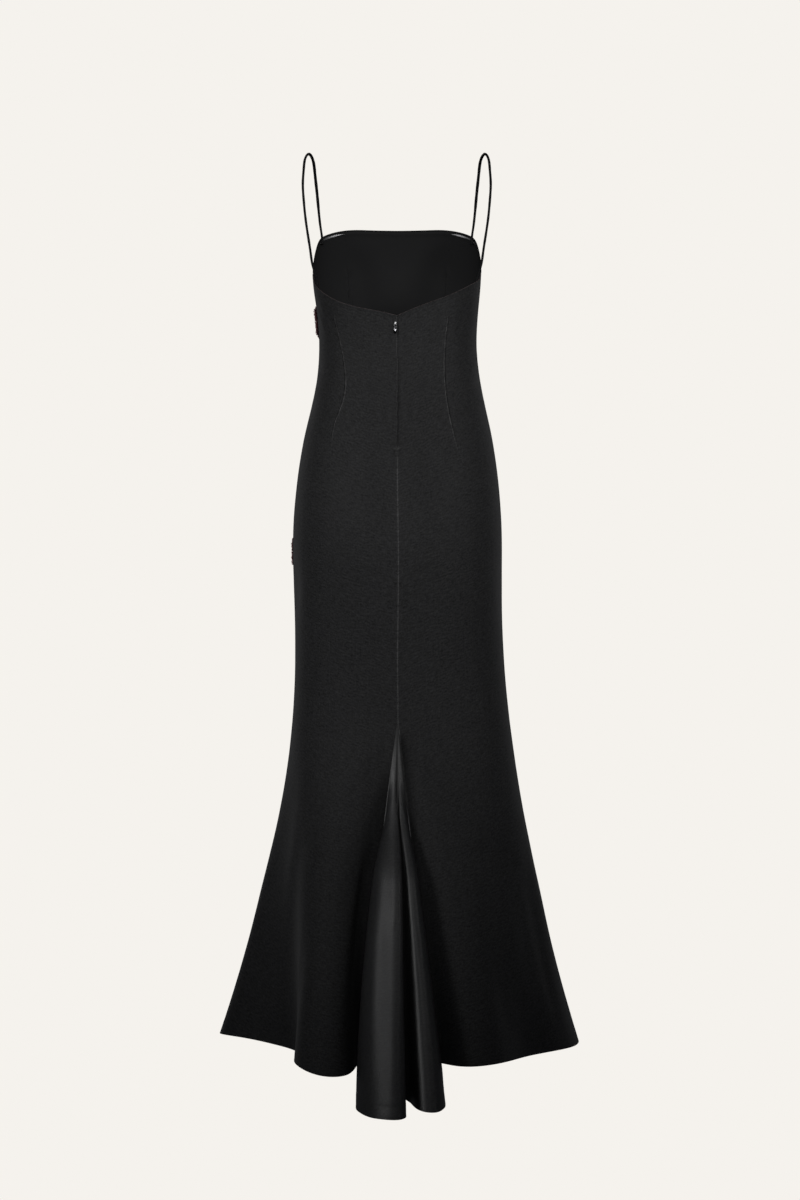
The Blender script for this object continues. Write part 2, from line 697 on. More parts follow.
# ---------------------------------------------------------------- meshes
def link(name, mesh):
    """A new object for a mesh."""
    thing = bpy.data.objects.new(name, mesh)
    bpy.context.scene.collection.objects.link(thing)
    return thing


def declare(piece, replaces=None, body="dress"):
    """Say which body a piece moves with, which solid it takes over."""
    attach(piece, body)
    if replaces:
        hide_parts(replaces)
    return piece


def clean_mesh(name, points, faces, material):
    """A new object: a smooth mesh whose faces point outward, with its finish."""
    mesh = bpy.data.meshes.new(name)
    mesh.from_pydata(np.asarray(points, float).tolist(), [], faces)
    work = bmesh.new()
    work.from_mesh(mesh)
    bmesh.ops.recalc_face_normals(work, faces=work.faces)
    work.to_mesh(mesh)
    work.free()
    mesh.shade_smooth()
    mesh.materials.append(material)
    return link(name, mesh)


def marked(mesh, name, values):
    """Give every point of a mesh a value of the mark."""
    mesh.attributes.new(name, "FLOAT", "POINT").data.foreach_set("value", values)


BACKWARD = [0, 3, 2, 1]  # a quad's corners the other way round


def grid_quads(rows, cols):
    """The quads of a grid, and its border in the order that its points follow."""
    index = np.arange(rows * cols).reshape(rows, cols)
    border = np.concatenate([index[0], index[1:, -1], index[-1, -2::-1], index[-2:0:-1, 0]])
    corners = (index[:-1, :-1], index[:-1, 1:], index[1:, 1:], index[1:, :-1])
    return np.stack([corner.ravel() for corner in corners], axis=1), border


def cloth_shell(name, outer, normals, thick, sign, marks, materials, lengths):
    """A closed wall of cloth: outer face, inner face and a rounded fold at each edge."""
    rows, cols = outer.shape[:2]
    count = rows * cols
    inner = outer - normals * thick[..., None]
    face, border = grid_quads(rows, cols)
    away = np.zeros_like(outer)
    away[0] += unit(outer[0] - outer[1])
    away[-1] += unit(outer[-1] - outer[-2])
    away[:, 0] += unit(outer[:, 0] - outer[:, 1])
    away[:, -1] += unit(outer[:, -1] - outer[:, -2])
    outer, inner = outer.reshape(-1, 3), inner.reshape(-1, 3)
    fold = 0.5 * (outer + inner)[border]
    fold += unit(away.reshape(-1, 3)[border]) * 0.5 * thick.reshape(-1, 1)[border]
    rim = np.arange(len(border)) + 2 * count
    after, rim_after = np.roll(border, -1), np.roll(rim, -1)
    sides = [
        face,
        face[:, BACKWARD] + count,
        np.stack([after, border, rim, rim_after], axis=1),
        np.stack([rim_after, rim, border + count, after + count], axis=1),
    ]
    quads = np.concatenate(sides)
    if sign < 0:
        quads = quads[:, ::-1]
    mesh = bpy.data.meshes.new(name)
    mesh.from_pydata(np.concatenate([outer, inner, fold]).tolist(), [], quads.tolist())
    slots = np.zeros(len(quads), np.int32)
    slots[len(face) : 2 * len(face)] = 1
    for material in materials:
        mesh.materials.append(material)
    mesh.polygons.foreach_set("material_index", slots)
    mesh.polygons.foreach_set("use_smooth", np.ones(len(quads), bool))
    corners = np.zeros(len(mesh.loops), np.int32)
    mesh.loops.foreach_get("vertex_index", corners)
    flat = np.stack([lengths[0].ravel(), lengths[1].ravel()], axis=1)
    flat = np.concatenate([flat, flat, flat[border]])
    layer = mesh.uv_layers.new(name="cloth")
    layer.data.foreach_set("uv", flat[corners].astype(np.float32).ravel())
    for mark, values in marks.items():
        values = values.ravel()
        marked(mesh, mark, np.concatenate([values, values * 0.0, values[border]]))
    mesh.update()
    return link(name, mesh)


def closed_strip(near, far, first=0):
    """Points and faces of a thin closed strip between two grids."""
    rows, cols = near.shape[:2]
    count = rows * cols
    face, border = grid_quads(rows, cols)
    after = np.roll(border, -1)
    side = np.stack([after, border, border + count, after + count], axis=1)
    faces = np.concatenate([face, face[:, BACKWARD] + count, side])
    points = np.concatenate([near.reshape(-1, 3), far.reshape(-1, 3)])
    return points, (faces + first).tolist()


def stacked(name, rings, material, closed_ends=True):
    """A closed surface through rings of points, one after the other."""
    count = len(rings[0])
    faces = []
    for s in range(len(rings) - 1):
        for k in range(count):
            a, b = s * count + k, s * count + (k + 1) % count
            faces.append((a, b, b + count, a + count))
    last = (len(rings) - 1) * count
    if closed_ends:
        faces.append(tuple(range(count)))
        faces.append(tuple(last + k for k in range(count)))
    else:
        for k in range(count):
            after = (k + 1) % count
            faces.append((last + k, last + after, after, k))
    return clean_mesh(name, np.concatenate(rings), faces, material)


CORD_TURN = 2.2  # radians a cord's seam turns round it from end to end
CORD_SEAM_WIDE = 0.35


def tube(name, path, radius, sides, material, axis=(1.0, 0.0, 0.0), seam=0.0):
    """A round cord swept along a path, with an optional soft seam along it."""
    ahead = unit(np.gradient(path, axis=0))
    across = unit(np.cross(ahead, np.asarray(axis, float)))
    other = np.cross(ahead, across)
    turn = np.linspace(0.0, 2.0 * math.pi, sides, endpoint=False)
    radius = np.broadcast_to(radius, (len(path),))
    twist = np.linspace(0.0, CORD_TURN, len(path))[:, None]
    off = (turn[None, :] - twist + math.pi) % (2.0 * math.pi) - math.pi
    reach = radius[:, None] * (1.0 - seam * bell(off, CORD_SEAM_WIDE))
    ring = across[:, None, :] * np.cos(turn)[None, :, None]
    ring = ring + other[:, None, :] * np.sin(turn)[None, :, None]
    return stacked(name, path[:, None, :] + ring * reach[..., None], material)


# ---------------------------------------------------------------- materials
def fill(tree, node, inputs):
    """Give a node's inputs their values, or join them to other nodes' sockets."""
    for name, value in inputs.items():
        socket = node.inputs[name]
        if isinstance(value, bpy.types.NodeSocket):
            tree.links.new(value, socket)
        elif socket.type == "RGBA":
            socket.default_value = (*value, 1.0)
        else:
            socket.default_value = value


def add_node(tree, kind, inputs=None, **settings):
    """A new node with its settings made and its inputs filled."""
    node = tree.nodes.new(kind)
    for name, value in settings.items():
        setattr(node, name, value)
    fill(tree, node, inputs or {})
    return node


def new_material(name, colour, rough, metal, specular):
    """A material, its tree and its shader, with the plain inputs set."""
    material = bpy.data.materials.new(name)
    material.use_nodes = True
    tree = material.node_tree
    shader = tree.nodes["Principled BSDF"]
    plain = {"Roughness": rough, "Metallic": metal, "Specular IOR Level": specular}
    fill(tree, shader, {"Base Color": colour, **plain})
    return material, tree, shader


def colour_mix(tree, factor, low, high, blend="MIX"):
    """Two colours mixed by a factor."""
    inputs = {"Factor": factor, "A": low, "B": high}
    mix = add_node(tree, "ShaderNodeMix", inputs, data_type="RGBA", blend_type=blend)
    return mix.outputs["Result"]


def ranged(tree, value, low, high, source=(0.0, 1.0)):
    """A value mapped from one range onto another."""
    inputs = {"Value": value, "To Min": low, "To Max": high}
    inputs.update({"From Min": source[0], "From Max": source[1]})
    return add_node(tree, "ShaderNodeMapRange", inputs).outputs["Result"]


def mark_of(tree, name):
    """One of the mesh's own marks."""
    return add_node(tree, "ShaderNodeAttribute", attribute_name=name).outputs["Fac"]


def noise(tree, place, scale, detail):
    """Noise over places, so many waves a metre."""
    inputs = {"Vector": place, "Scale": scale, "Detail": detail}
    return add_node(tree, "ShaderNodeTexNoise", inputs).outputs["Fac"]


def grain_noise(tree, scale, detail=2.0):
    """Noise in the piece's own space."""
    return noise(tree, add_node(tree, "ShaderNodeTexCoord").outputs["Object"], scale, detail)


def cloth_noise(tree, along, down, detail=2.0):
    """Noise in metres of cloth, so many a metre along the weft and down the warp."""
    place = add_node(tree, "ShaderNodeUVMap", uv_map="cloth").outputs["UV"]
    scaled = add_node(tree, "ShaderNodeMapping", {"Vector": place, "Scale": (along, down, 1.0)})
    return noise(tree, scaled.outputs["Vector"], 1.0, detail)


def summed(tree, first, second, weight=1.0):
    """First plus a share of second."""
    inputs = {0: second, 1: weight, 2: first}
    return add_node(tree, "ShaderNodeMath", inputs, operation="MULTIPLY_ADD").outputs["Value"]


def bumped(tree, height, strength, distance, **under):
    """A normal tilted by a height."""
    inputs = {"Height": height, "Strength": strength, "Distance": distance, **under}
    return add_node(tree, "ShaderNodeBump", inputs).outputs["Normal"]


def woven(tree, pitch, slub):
    """Height of a satin weave: long floats down the warp with slight slubs across."""
    floats = cloth_noise(tree, 1.0 / pitch, 0.12 / pitch)
    return summed(tree, floats, cloth_noise(tree, 30.0, 1.0 / slub, 3.0))


SLUBS = (120.0, 390.0, 2.0)  # waves a metre along the weft and down the warp, and detail
SPECKLE = (360.0, 360.0, 1.0)
MOTTLE = (40.0, 60.0, 4.0)
GRAIN_RANGE = (0.75, 1.55)
GRAIN_STRENGTH = 0.55
PRESSED = (0.070, 0.070, 0.070)
DULL = (0.002, 0.002, 0.002)
SEWN = (0.003, 0.003, 0.003)
REVERSE = ((0.009, 0.009, 0.010), (0.0135, 0.0135, 0.0138), (0.0185, 0.0185, 0.019))
GRAIN_TINT = (0.72, 0.70, 0.70)


def slubbed(tree, colour):
    """A colour made uneven by slubs along the weft and a fine speckle; and their height."""
    both = summed(tree, cloth_noise(tree, *SLUBS), cloth_noise(tree, *SPECKLE))
    both = summed(tree, both, cloth_noise(tree, *MOTTLE), 0.3)
    level = ranged(tree, both, 1.0 - GRAIN_STRENGTH, 1.0 + GRAIN_STRENGTH, GRAIN_RANGE)
    inputs = {0: colour, "Scale": level}
    scaled = add_node(tree, "ShaderNodeVectorMath", inputs, operation="SCALE")
    return scaled.outputs["Vector"], both


def satin_material(name, colour, tint, rough, specular, sheen):
    """Black satin: fine floats, soft cloudy sheen and darker sewn lines."""
    material, tree, shader = new_material(name, colour, rough, 0.0, specular)
    cloud = grain_noise(tree, 7.0, 3.0)
    dull = mark_of(tree, "dull")
    shade = colour_mix(tree, cloud, colour, tint)
    shade = colour_mix(tree, mark_of(tree, "pressed"), shade, PRESSED)
    shade, unevenness = slubbed(tree, colour_mix(tree, dull, shade, DULL))
    sewn = ranged(tree, mark_of(tree, "sewn"), 0.0, 0.75)
    cloudy_rough = ranged(tree, cloud, rough - 0.03, rough + 0.04)
    weave = bumped(tree, woven(tree, 0.6 * MM, 2.2 * MM), 0.35, 0.04 * MM)
    inputs = {
        "Base Color": colour_mix(tree, sewn, shade, SEWN),
        "Roughness": summed(tree, cloudy_rough, dull, 0.35),
        "Sheen Weight": sheen,
        "Sheen Roughness": 0.5,
        "Anisotropic": 0.35,
        "Normal": bumped(tree, unevenness, 0.5, 0.18 * MM, Normal=weave),
    }
    fill(tree, shader, inputs)
    return material


def lining_material():
    """The satin's dull reverse."""
    material, tree, shader = new_material("satin_reverse", REVERSE[0], 0.7, 0.0, 0.05)
    height = woven(tree, 0.8 * MM, 1.5 * MM)
    shade = colour_mix(tree, ranged(tree, height, 0.0, 0.5), *REVERSE[1:])
    normal = bumped(tree, height, 0.3, 0.05 * MM)
    fill(tree, shader, {"Base Color": shade, "Normal": normal})
    return material


def trim_material(name, colour, tint, rough, specular=0.4, scale=900.0, metal=0.0, depth=0.04 * MM):
    """A small part's finish: a fine grain in its colour and surface."""
    material, tree, shader = new_material(name, colour, rough, metal, specular)
    grain = grain_noise(tree, scale)
    inputs = {
        "Base Color": colour_mix(tree, grain, colour, tint),
        "Roughness": ranged(tree, grain, rough * 0.85, rough * 1.15),
        "Normal": bumped(tree, grain, 0.3, depth),
    }
    fill(tree, shader, inputs)
    return material


def shaded_material(name, tones, rough, specular, sheen=0.0):
    """A finish whose colour runs through tones by the piece's own shade."""
    material, tree, shader = new_material(name, tones[0][1], rough, 0.0, specular)
    ramp = add_node(tree, "ShaderNodeValToRGB", {"Fac": mark_of(tree, "shade")})
    elements = ramp.color_ramp.elements
    for element, (position, colour) in zip(elements, (tones[0], tones[-1])):
        element.position = position
        element.color = (*colour, 1.0)
    for position, colour in tones[1:-1]:
        elements.new(position).color = (*colour, 1.0)
    grain = grain_noise(tree, 1400.0)
    share = ranged(tree, grain, 0.0, 0.7)
    inputs = {
        "Base Color": colour_mix(tree, share, ramp.outputs["Color"], GRAIN_TINT, "MULTIPLY"),
        "Sheen Weight": sheen,
        "Normal": bumped(tree, grain, 0.3, 0.06 * MM),
    }
    fill(tree, shader, inputs)
    return material


def pale_material():
    """The stage's even pale finish."""
    material, tree, shader = new_material("pale_stage", (0.0, 0.0, 0.0), 1.0, 0.0, 0.0)
    fill(tree, shader, {"Emission Color": PALE, "Emission Strength": 1.0})
    return material


# Tones by shade, from 0 to 1.
ROSE_TONES = (
    (0.0, (0.030, 0.005, 0.007)),
    (0.25, (0.100, 0.030, 0.036)),
    (0.5, (0.170, 0.075, 0.080)),
    (0.75, (0.260, 0.160, 0.165)),
    (1.0, (0.780, 0.620, 0.625)),
)
STAY_TONES = (
    (0.0, (0.035, 0.035, 0.036)),
    (0.5, (0.20, 0.20, 0.205)),
    (1.0, (0.62, 0.62, 0.63)),
)
# Small parts: name, colour, tint, roughness, specular, grain a metre, metal and depth.
TRIMS = {
    "tape": ("black_tape", (0.010, 0.010, 0.011), (0.016, 0.016, 0.017), 0.7),
    "thread": ("black_thread", (0.010, 0.010, 0.011), (0.022, 0.022, 0.024), 0.45),
    "reverse_plain": ("reverse_plain", (0.008, 0.008, 0.009), (0.012, 0.012, 0.013), 0.65),
    "edge": ("edge_satin", (0.004, 0.004, 0.004), (0.007, 0.007, 0.007), 0.5, 0.2),
    "binding": ("neck_binding", (0.050, 0.034, 0.033), (0.075, 0.055, 0.053), 0.6),
    "coil": ("coil_nylon", (0.012, 0.012, 0.013), (0.02, 0.02, 0.02), 0.35),
    "heart": ("heart_knots", (0.045, 0.008, 0.010), (0.10, 0.02, 0.025), 0.45),
    "ground": ("flower_ground", (0.100, 0.038, 0.042), (0.160, 0.070, 0.074), 0.6),
    "slider": ("slider_lacquer", (0.010, 0.010, 0.011), (0.02, 0.02, 0.022), 0.22, 0.6),
    "pull": (
        "pull_nickel",
        (0.028, 0.028, 0.029),
        (0.042, 0.042, 0.044),
        *(0.12, 0.5, 700.0, 1.0, 0.01 * MM),
    ),
}
MATERIALS = {}


def finish_named(name):
    """One of the gown's finishes, made once."""
    satin = np.array(bpy.context.scene.gown.satin_colour)
    strap_black = np.array(bpy.context.scene.gown.strap_colour)
    makers = {
        "satin": (satin_material, "satin", satin, satin * 1.24, 0.58, 0.06, 0.04),
        "godet_satin": (satin_material, "godet_satin", satin * 0.87, satin * 1.06, 0.43, 0.38, 0.0),
        "reverse": (lining_material,),
        "strap": (trim_material, "strap_satin", strap_black, strap_black * 1.7, 0.6, 0.08, 1500.0),
        "stay": (shaded_material, "stay_satin", STAY_TONES, 0.38, 0.5),
        "rose": (shaded_material, "rose_threads", ROSE_TONES, 0.42, 0.4, 0.2),
    }
    if name not in MATERIALS:
        make, *looks = makers.get(name) or (trim_material, *TRIMS[name])
        MATERIALS[name] = make(*looks)
    return MATERIALS[name]


# ---------------------------------------------------------------- panels
PANELS = {}

# Each panel's cut without allowances: its widest, its longest and its flat area.
CUT = {
    "front": (0.764, 1.301, 0.612),
    "back_left": (0.423, 1.219, 0.293),
    "back_right": (0.367, 1.228, 0.297),
    "godet": (0.527, 0.618, 0.124),
}


def finish_panel(name, base, sign, relief, marks, inner_extra, material):
    """Displace a panel's grid, make it a wall of cloth and keep its grid for the sewing."""
    outer = base + grid_normals(base, sign) * relief[..., None]
    normals = grid_normals(outer, sign)
    thick = np.full(relief.shape, bpy.context.scene.gown.cloth_thickness) + inner_extra
    finishes = (finish_named(material), finish_named("reverse"))
    lengths = (arc_lengths(base, 1), arc_lengths(base, 0))
    PANELS[name] = {"outer": outer, "normals": normals}
    panel = cloth_shell(f"{name}_cloth", outer, normals, thick, sign, marks, finishes, lengths)
    return declare(panel, name)


def turned_in(fall):
    """The extra cloth inside a turned neck edge."""
    return FOLDED_EDGE * (1.0 - smooth_step(fall - FOLD_WIDE, FOLD_FADE))


PANEL_ROWS = 270
LINE_END = 0.6  # below this drop the grid leaves the dart's line
LINE_FADE = 0.3


def panel_grid(surface, darts, reaches, count, crowding, top_at, bottom_at):
    """A panel's places across and drops, crowded at its edges and its darts' lines.

    Each dart's line is looked for within its reach, a low and a high place across. The
    last value that is returned is the column of each dart.
    """
    middles = []
    for dart, reach in zip(darts, reaches):
        middles.append(float(np.mean(line_places(dart, surface, dart["drop"], *reach))))
    lines = [(0.0, NEAR), (1.0, NEAR)] + [(middle, crowding) for middle in middles]
    places = crowded(count, lines)
    down = down_rows(PANEL_ROWS, TOP_ROWS, HEM_ROWS)[:, None]
    across = np.broadcast_to(places, (len(down), len(places))).copy()
    for _ in range(2):
        top = top_at(across)
        drop = top + (bottom_at(across) - top) * down
        nominal = drop.mean(axis=1)
        bend = smooth_step(nominal - LINE_END, LINE_FADE)
        lines = []
        for dart, reach, middle in zip(darts, reaches, middles):
            line = line_places(dart, surface, nominal, *reach)
            lines.append(line * (1.0 - bend) + middle * bend)
        knots = (0.0, *middles, 1.0)
        across = np.stack([np.interp(places, knots, (0.0, *at, 1.0)) for at in zip(*lines)])
    return across, drop, [int(np.argmin(np.abs(places - middle))) for middle in middles]


ZIP_HELD = 0.350  # from here down to its end the zip is drawn dark and tight
ZIP_HELD_FADE = 0.035
ZIP_END = 0.473
TACK_DROP = 0.886
WAVER_FADE = 10.0
BACK_COLUMNS = 104
BACK_DART_REACH = (0.2, 0.95)
# How the centre back edge shines: above the zip's end, below it and at the tacked end.
EDGE_SHINE = {-1: (0.5, 0.15, 0.5), 1: (0.0, 0.85, 0.9)}
EDGE_BRIGHT = (0.7 * MM, 0.8 * MM)  # place beside the centre back, and width
TACK_BRIGHT = (1.6 * MM, 1.5 * MM)
EDGE_UNEVEN = (0.25, 330.0, 3.0, 71.0)
ZIP_UNEVEN = (0.25, 610.0, 2.0, 131.0)
ZIP_DARK = (0.9 * MM, 2.1 * MM)
ZIP_END_FADE = 0.02
DRAG_DARK = (3.4 * MM, 0.003, 1.7 * MM)  # place beside, place below the zip's end, width
# The fold beside the godet: width, widening a metre, shift, top and fade.
GODET_FOLD = {-1: (15.0 * MM, 0.23, 0.2, 0.93, 0.08), 1: (10.0 * MM, 0.0, 0.0, 0.90, 0.03)}
FOLD_DULL = 0.65
WANDER = (0.5 * MM, 0.7 * MM)  # sideways, in quick waves beside the zip and in slow ones
WANDER_TOP = (0.285, 0.03)  # drop and fade
WANDER_END = (0.87, 0.06)
ZIP_PUCKER = 0.28 * MM
ZIP_RIDGE = (0.55 * MM, 3.4 * MM, 2.2 * MM)  # height, place beside, width
DRAG = (1.0 * MM, 2.0 * MM, 5.0 * MM)
DRAG_DIP = (0.9 * MM, 0.007, 4.5 * MM)  # depth, place below the zip's end, width
TACK_DIP = (0.45 * MM, 1.3 * MM, 9.0 * MM)  # depth, height, width
CLOSING_PUCKER = 0.15 * MM


def back_panel(sign):
    """One back panel, from the centre back and godet seam to the side seam."""
    name = "back_right" if sign > 0 else "back_left"
    edge, hem, dart = BACK_EDGE[sign], HEM[sign], BACK_DART[sign]
    across, drop, (column,) = panel_grid(
        lambda across, drop: back_point(sign, across, drop),
        (dart,),
        (BACK_DART_REACH,),
        BACK_COLUMNS,
        DART_NEAR,
        lambda across: edge_drop(edge, across * 90.0),
        lambda across: spline(hem["across"], hem["drop"], across),
    )
    base = back_point(sign, across, drop)
    base[..., 0] += seam_wander(drop) * bell((across * 0.2), 12.0 * MM)
    run, fall = arc_lengths(base, 1), arc_lengths(base, 0)
    relief, sewn = sewn_relief(run, fall)
    line = run[:, column : column + 1]
    dart_height, dart_dark, dart_bright = dart_relief(run, line, drop, dart, 1.0)
    creases = crease_relief(BACK_CREASES[sign], across, drop, run[:, -1:])
    relief += dart_height
    relief += bpy.context.scene.gown.crease_strength * creases
    relief += cloth_waver(run * sign, drop, WAVER) * bell(run, WAVER_FADE)
    relief += centre_back_relief(run, drop)
    below_zip = smooth_step(drop - ZIP_END, ZIP_END_FADE)
    sewn = sewn * (1.0 - 0.8 * below_zip * bell(run, 6.0 * MM))
    marks = {
        "sewn": np.maximum(np.maximum(sewn, dart_dark), zip_shadow(sign, run, drop)),
        "pressed": np.maximum(dart_bright, edge_shine(sign, run, drop)),
        "dull": godet_fold(sign, run, drop),
    }
    return finish_panel(name, base, -sign, relief, marks, turned_in(fall), "satin")


def edge_shine(sign, run, drop):
    """The light that the pressed centre back edge and the zip's tacked end catch."""
    above_end, below_end, at_tack = EDGE_SHINE[sign]
    below = smooth_step(drop - ZIP_END, ZIP_END_FADE)
    drawn = smooth_step(drop - ZIP_HELD, ZIP_HELD_FADE) * (1.0 - below)
    strength = below * below_end + (1.0 - below) * above_end * (1.0 - 0.6 * drawn)
    edge = bell(run - EDGE_BRIGHT[0], EDGE_BRIGHT[1]) * strength * uneven(drop, *EDGE_UNEVEN)
    tacked = bell(np.hypot(run - TACK_BRIGHT[0], drop - ZIP_END), TACK_BRIGHT[1])
    return np.maximum(edge, tacked * at_tack)


def godet_fold(sign, run, drop):
    """The shade in the deep fold beside the godet."""
    wide, widening, shift, top, fade = GODET_FOLD[sign]
    width = wide + widening * np.clip(drop - 0.99, 0.0, 0.14)
    return FOLD_DULL * bell(run - shift * width, width) * smooth_step(drop - top, fade)


def zip_shadow(sign, run, drop):
    """The shadow round the drag at the zip's end and, on the right, up beside the zip."""
    beside, below, wide = DRAG_DARK
    shadow = 0.8 * bell(np.hypot(run - beside, drop - ZIP_END - below), wide)
    if sign > 0:
        held = smooth_step(drop - ZIP_HELD, ZIP_HELD_FADE)
        held = held * smooth_step(ZIP_END - 0.002 - drop, 0.008)
        line = bell(run - ZIP_DARK[0], ZIP_DARK[1]) * held * uneven(drop, *ZIP_UNEVEN)
        shadow = np.maximum(shadow, line)
    return shadow


def seam_wander(drop):
    """How far the centre back line strays sideways."""
    zipped = smooth_step(ZIP_END - drop, 0.03)
    stray = WANDER[0] * np.sin(drop * 190.0 + 1.5 * np.sin(drop * 47.0)) * zipped
    stray += WANDER[1] * np.sin(drop * 21.0 + 0.4)
    stray = stray * smooth_step(WANDER_END[0] - drop, WANDER_END[1])
    return stray * smooth_step(drop - WANDER_TOP[0], WANDER_TOP[1])


def centre_back_relief(run, drop):
    """Zip puckers, the drag at the zip's end and the tack above the godet."""
    zipped = smooth_step(ZIP_END - drop, 0.03) * bell(run, 7.0 * MM)
    height = ZIP_PUCKER * np.sin(drop * 760.0 + 2.0 * np.sin(drop * 90.0)) * zipped
    rise, beside, wide = ZIP_RIDGE
    height += rise * bell(run - beside, wide) * smooth_step(ZIP_END + 0.004 - drop, 0.01)
    rise, beside, wide = DRAG
    drag = rise * bell(np.hypot(run - beside, drop - ZIP_END), wide)
    depth, below, wide = DRAG_DIP
    height += drag - depth * bell(np.hypot(run, drop - ZIP_END - below), wide)
    depth, tall, wide = TACK_DIP
    height -= depth * bell(drop - TACK_DROP, tall) * bell(run, wide)
    stitched = bell(drop - 0.84, 0.05) * bell(run, 3.5 * MM)
    height += CLOSING_PUCKER * np.sin(drop * 1600.0) * stitched
    return height


FRONT_COLUMNS = 150
FRONT_DART_REACHES = ((0.02, 0.5), (0.5, 0.98))
DART_TOP_PIT = (1.3 * MM, 3.6 * MM)  # depth and width where a bust dart starts
DART_TOP_FAN = (0.4 * MM, 9.0 * MM, 5.0)  # height, width and count of the puckers round it


def front_panel():
    """The front panel, from the left side seam to the right one."""
    hem_rise = FRONT_HEM[1] - FRONT_HEM[0]
    across, drop, dart_columns = panel_grid(
        lambda share, drop: front_point(2.0 * share - 1.0, drop),
        (FRONT_DART[-1], FRONT_DART[1]),
        FRONT_DART_REACHES,
        FRONT_COLUMNS,
        0.5 * DART_NEAR,
        lambda across: edge_drop(FRONT_EDGE, np.abs(2.0 * across - 1.0) * 90.0),
        lambda across: FRONT_HEM[0] + hem_rise * across,
    )
    base = front_point(2.0 * across - 1.0, drop)
    run, fall = arc_lengths(base, 1), arc_lengths(base, 0)
    relief, sewn = sewn_relief(run, fall)
    pressed = np.zeros_like(sewn)
    for sign, column in zip((-1, 1), dart_columns):
        dart = FRONT_DART[sign]
        line = run[:, column : column + 1]
        height, dark, bright = dart_relief(run, line, drop, dart, sign)
        gap, below = run - line, drop - dart["drop"][0]
        away = np.hypot(gap, below)
        fan_rise, fan_wide, fan_count = DART_TOP_FAN
        height -= DART_TOP_PIT[0] * bell(away, DART_TOP_PIT[1])
        fan = np.sin(fan_count * np.arctan2(gap, below + 1e-6))
        height += fan_rise * bell(away, fan_wide) * fan
        relief += height
        sewn = np.maximum(sewn, dark)
        pressed = np.maximum(pressed, bright)
    creases = crease_relief(FRONT_CREASES, across, drop, run[:, -1:])
    relief += bpy.context.scene.gown.crease_strength * creases
    relief += cloth_waver(run, drop, WAVER)
    marks = {"sewn": sewn, "pressed": pressed}
    panel = finish_panel("front", base, 1, relief, marks, turned_in(fall), "satin")
    PANELS["front"]["across"] = across[0]
    return panel


GODET_COLUMNS = 170
GODET_ROWS = 150
GODET_CALM = 0.02  # metres of width below which the tip stays smooth
GODET_LINE = (0.52, 0.42, 0.1)  # the dark line: place across, end and fade down
GODET_VALLEYS = ((0.5, 0.12), (1.0, 0.13))  # dull ones: place sideways and width
VALLEY_END = (0.20, 0.12)  # share down, and fade
DULL_TIP = (0.02, 0.10)
GODET_HEM_ROWS = 0.022 * HEM_ROWS[::-1] / HEM_ROWS[-1] * 1.5  # shares up from the hem


def godet_panel():
    """The fan of cloth let into the centre back seam."""
    places = crowded(GODET_COLUMNS, ((0.0, NEAR), (1.0, NEAR)))
    even = np.linspace(GODET_TIP, 1.0 - 0.03, GODET_ROWS)
    down = np.concatenate([even, 1.0 - GODET_HEM_ROWS])
    down = np.unique(np.clip(down, GODET_TIP, 1.0))[:, None]
    across = np.broadcast_to(places, (len(down), len(places))).copy()
    share = np.broadcast_to(down, across.shape).copy()
    base = godet_point(across, share)
    run, fall = arc_lengths(base, 1), arc_lengths(base, 0)
    width = run[:, -1:]
    drop = -base[..., 2]
    calm = smooth_step(width, GODET_CALM)
    relief, sewn = sewn_relief(run, fall, top_edge=False)
    relief = relief * calm
    strength = calm * bpy.context.scene.gown.crease_strength
    relief += strength * crease_relief(GODET_CREASES, across, drop, width)
    relief += calm * cloth_waver(run, drop, GODET_WAVER)
    place, end, fade = GODET_LINE
    dark_line = 0.8 * bell(run - place * width, 0.9 * MM) * smooth_step(end - share, fade)
    sideways = (base[..., 0] - base[:, :1, 0]) / (base[:, -1:, 0] - base[:, :1, 0])
    valleys = sum(bell(sideways - place, wide) for place, wide in GODET_VALLEYS)
    ended = smooth_step(share - VALLEY_END[0], VALLEY_END[1])
    dull = np.clip(valleys * (1.0 - ended), 0.0, 1.0)
    tip = 0.5 - 0.5 * smooth_step(share - DULL_TIP[0], DULL_TIP[1])
    marks = {"sewn": np.maximum(sewn, dark_line), "dull": np.maximum(dull, tip)}
    return finish_panel("godet", base, -1, relief, marks, 0.0 * relief, "godet_satin")


# ---------------------------------------------------------------- straps
def strap(name, mirror):
    """A shoulder strap: a turned bias tube with its seam, its ends sewn inside."""
    rows = np.stack([STRAP["x"] * mirror, STRAP["y"], -STRAP["drop"]], axis=1)
    steps = np.linalg.norm(np.diff(rows, axis=0), axis=1)
    knots = np.concatenate([[0.0], np.cumsum(steps)])
    path = spline(knots, rows, np.linspace(0.0, knots[-1], STRAP_STATIONS))
    along = np.linspace(0.0, knots[-1], STRAP_STATIONS)
    ahead = smooth_step(path[:, 1] + 0.004, 0.010) * smooth_step(path[:, 2] + 0.110, 0.050)
    body = smooth_step(0.5 * knots[-1] - np.abs(along - 0.5 * knots[-1]), 0.080)
    wider = 1.0 + body * (STRAP_WIDER[0] + STRAP_WIDER[1] * ahead)
    radius = bpy.context.scene.gown.strap_radius * wider
    radius = radius * (1.0 + 0.035 * np.sin(along * 210.0) + 0.02 * np.sin(along * 531.0))
    finish = finish_named("strap")
    cord = tube(f"{name}_rouleau", path, radius, STRAP_SIDES, finish, seam=STRAP_SEAM)
    declare(cord, name)


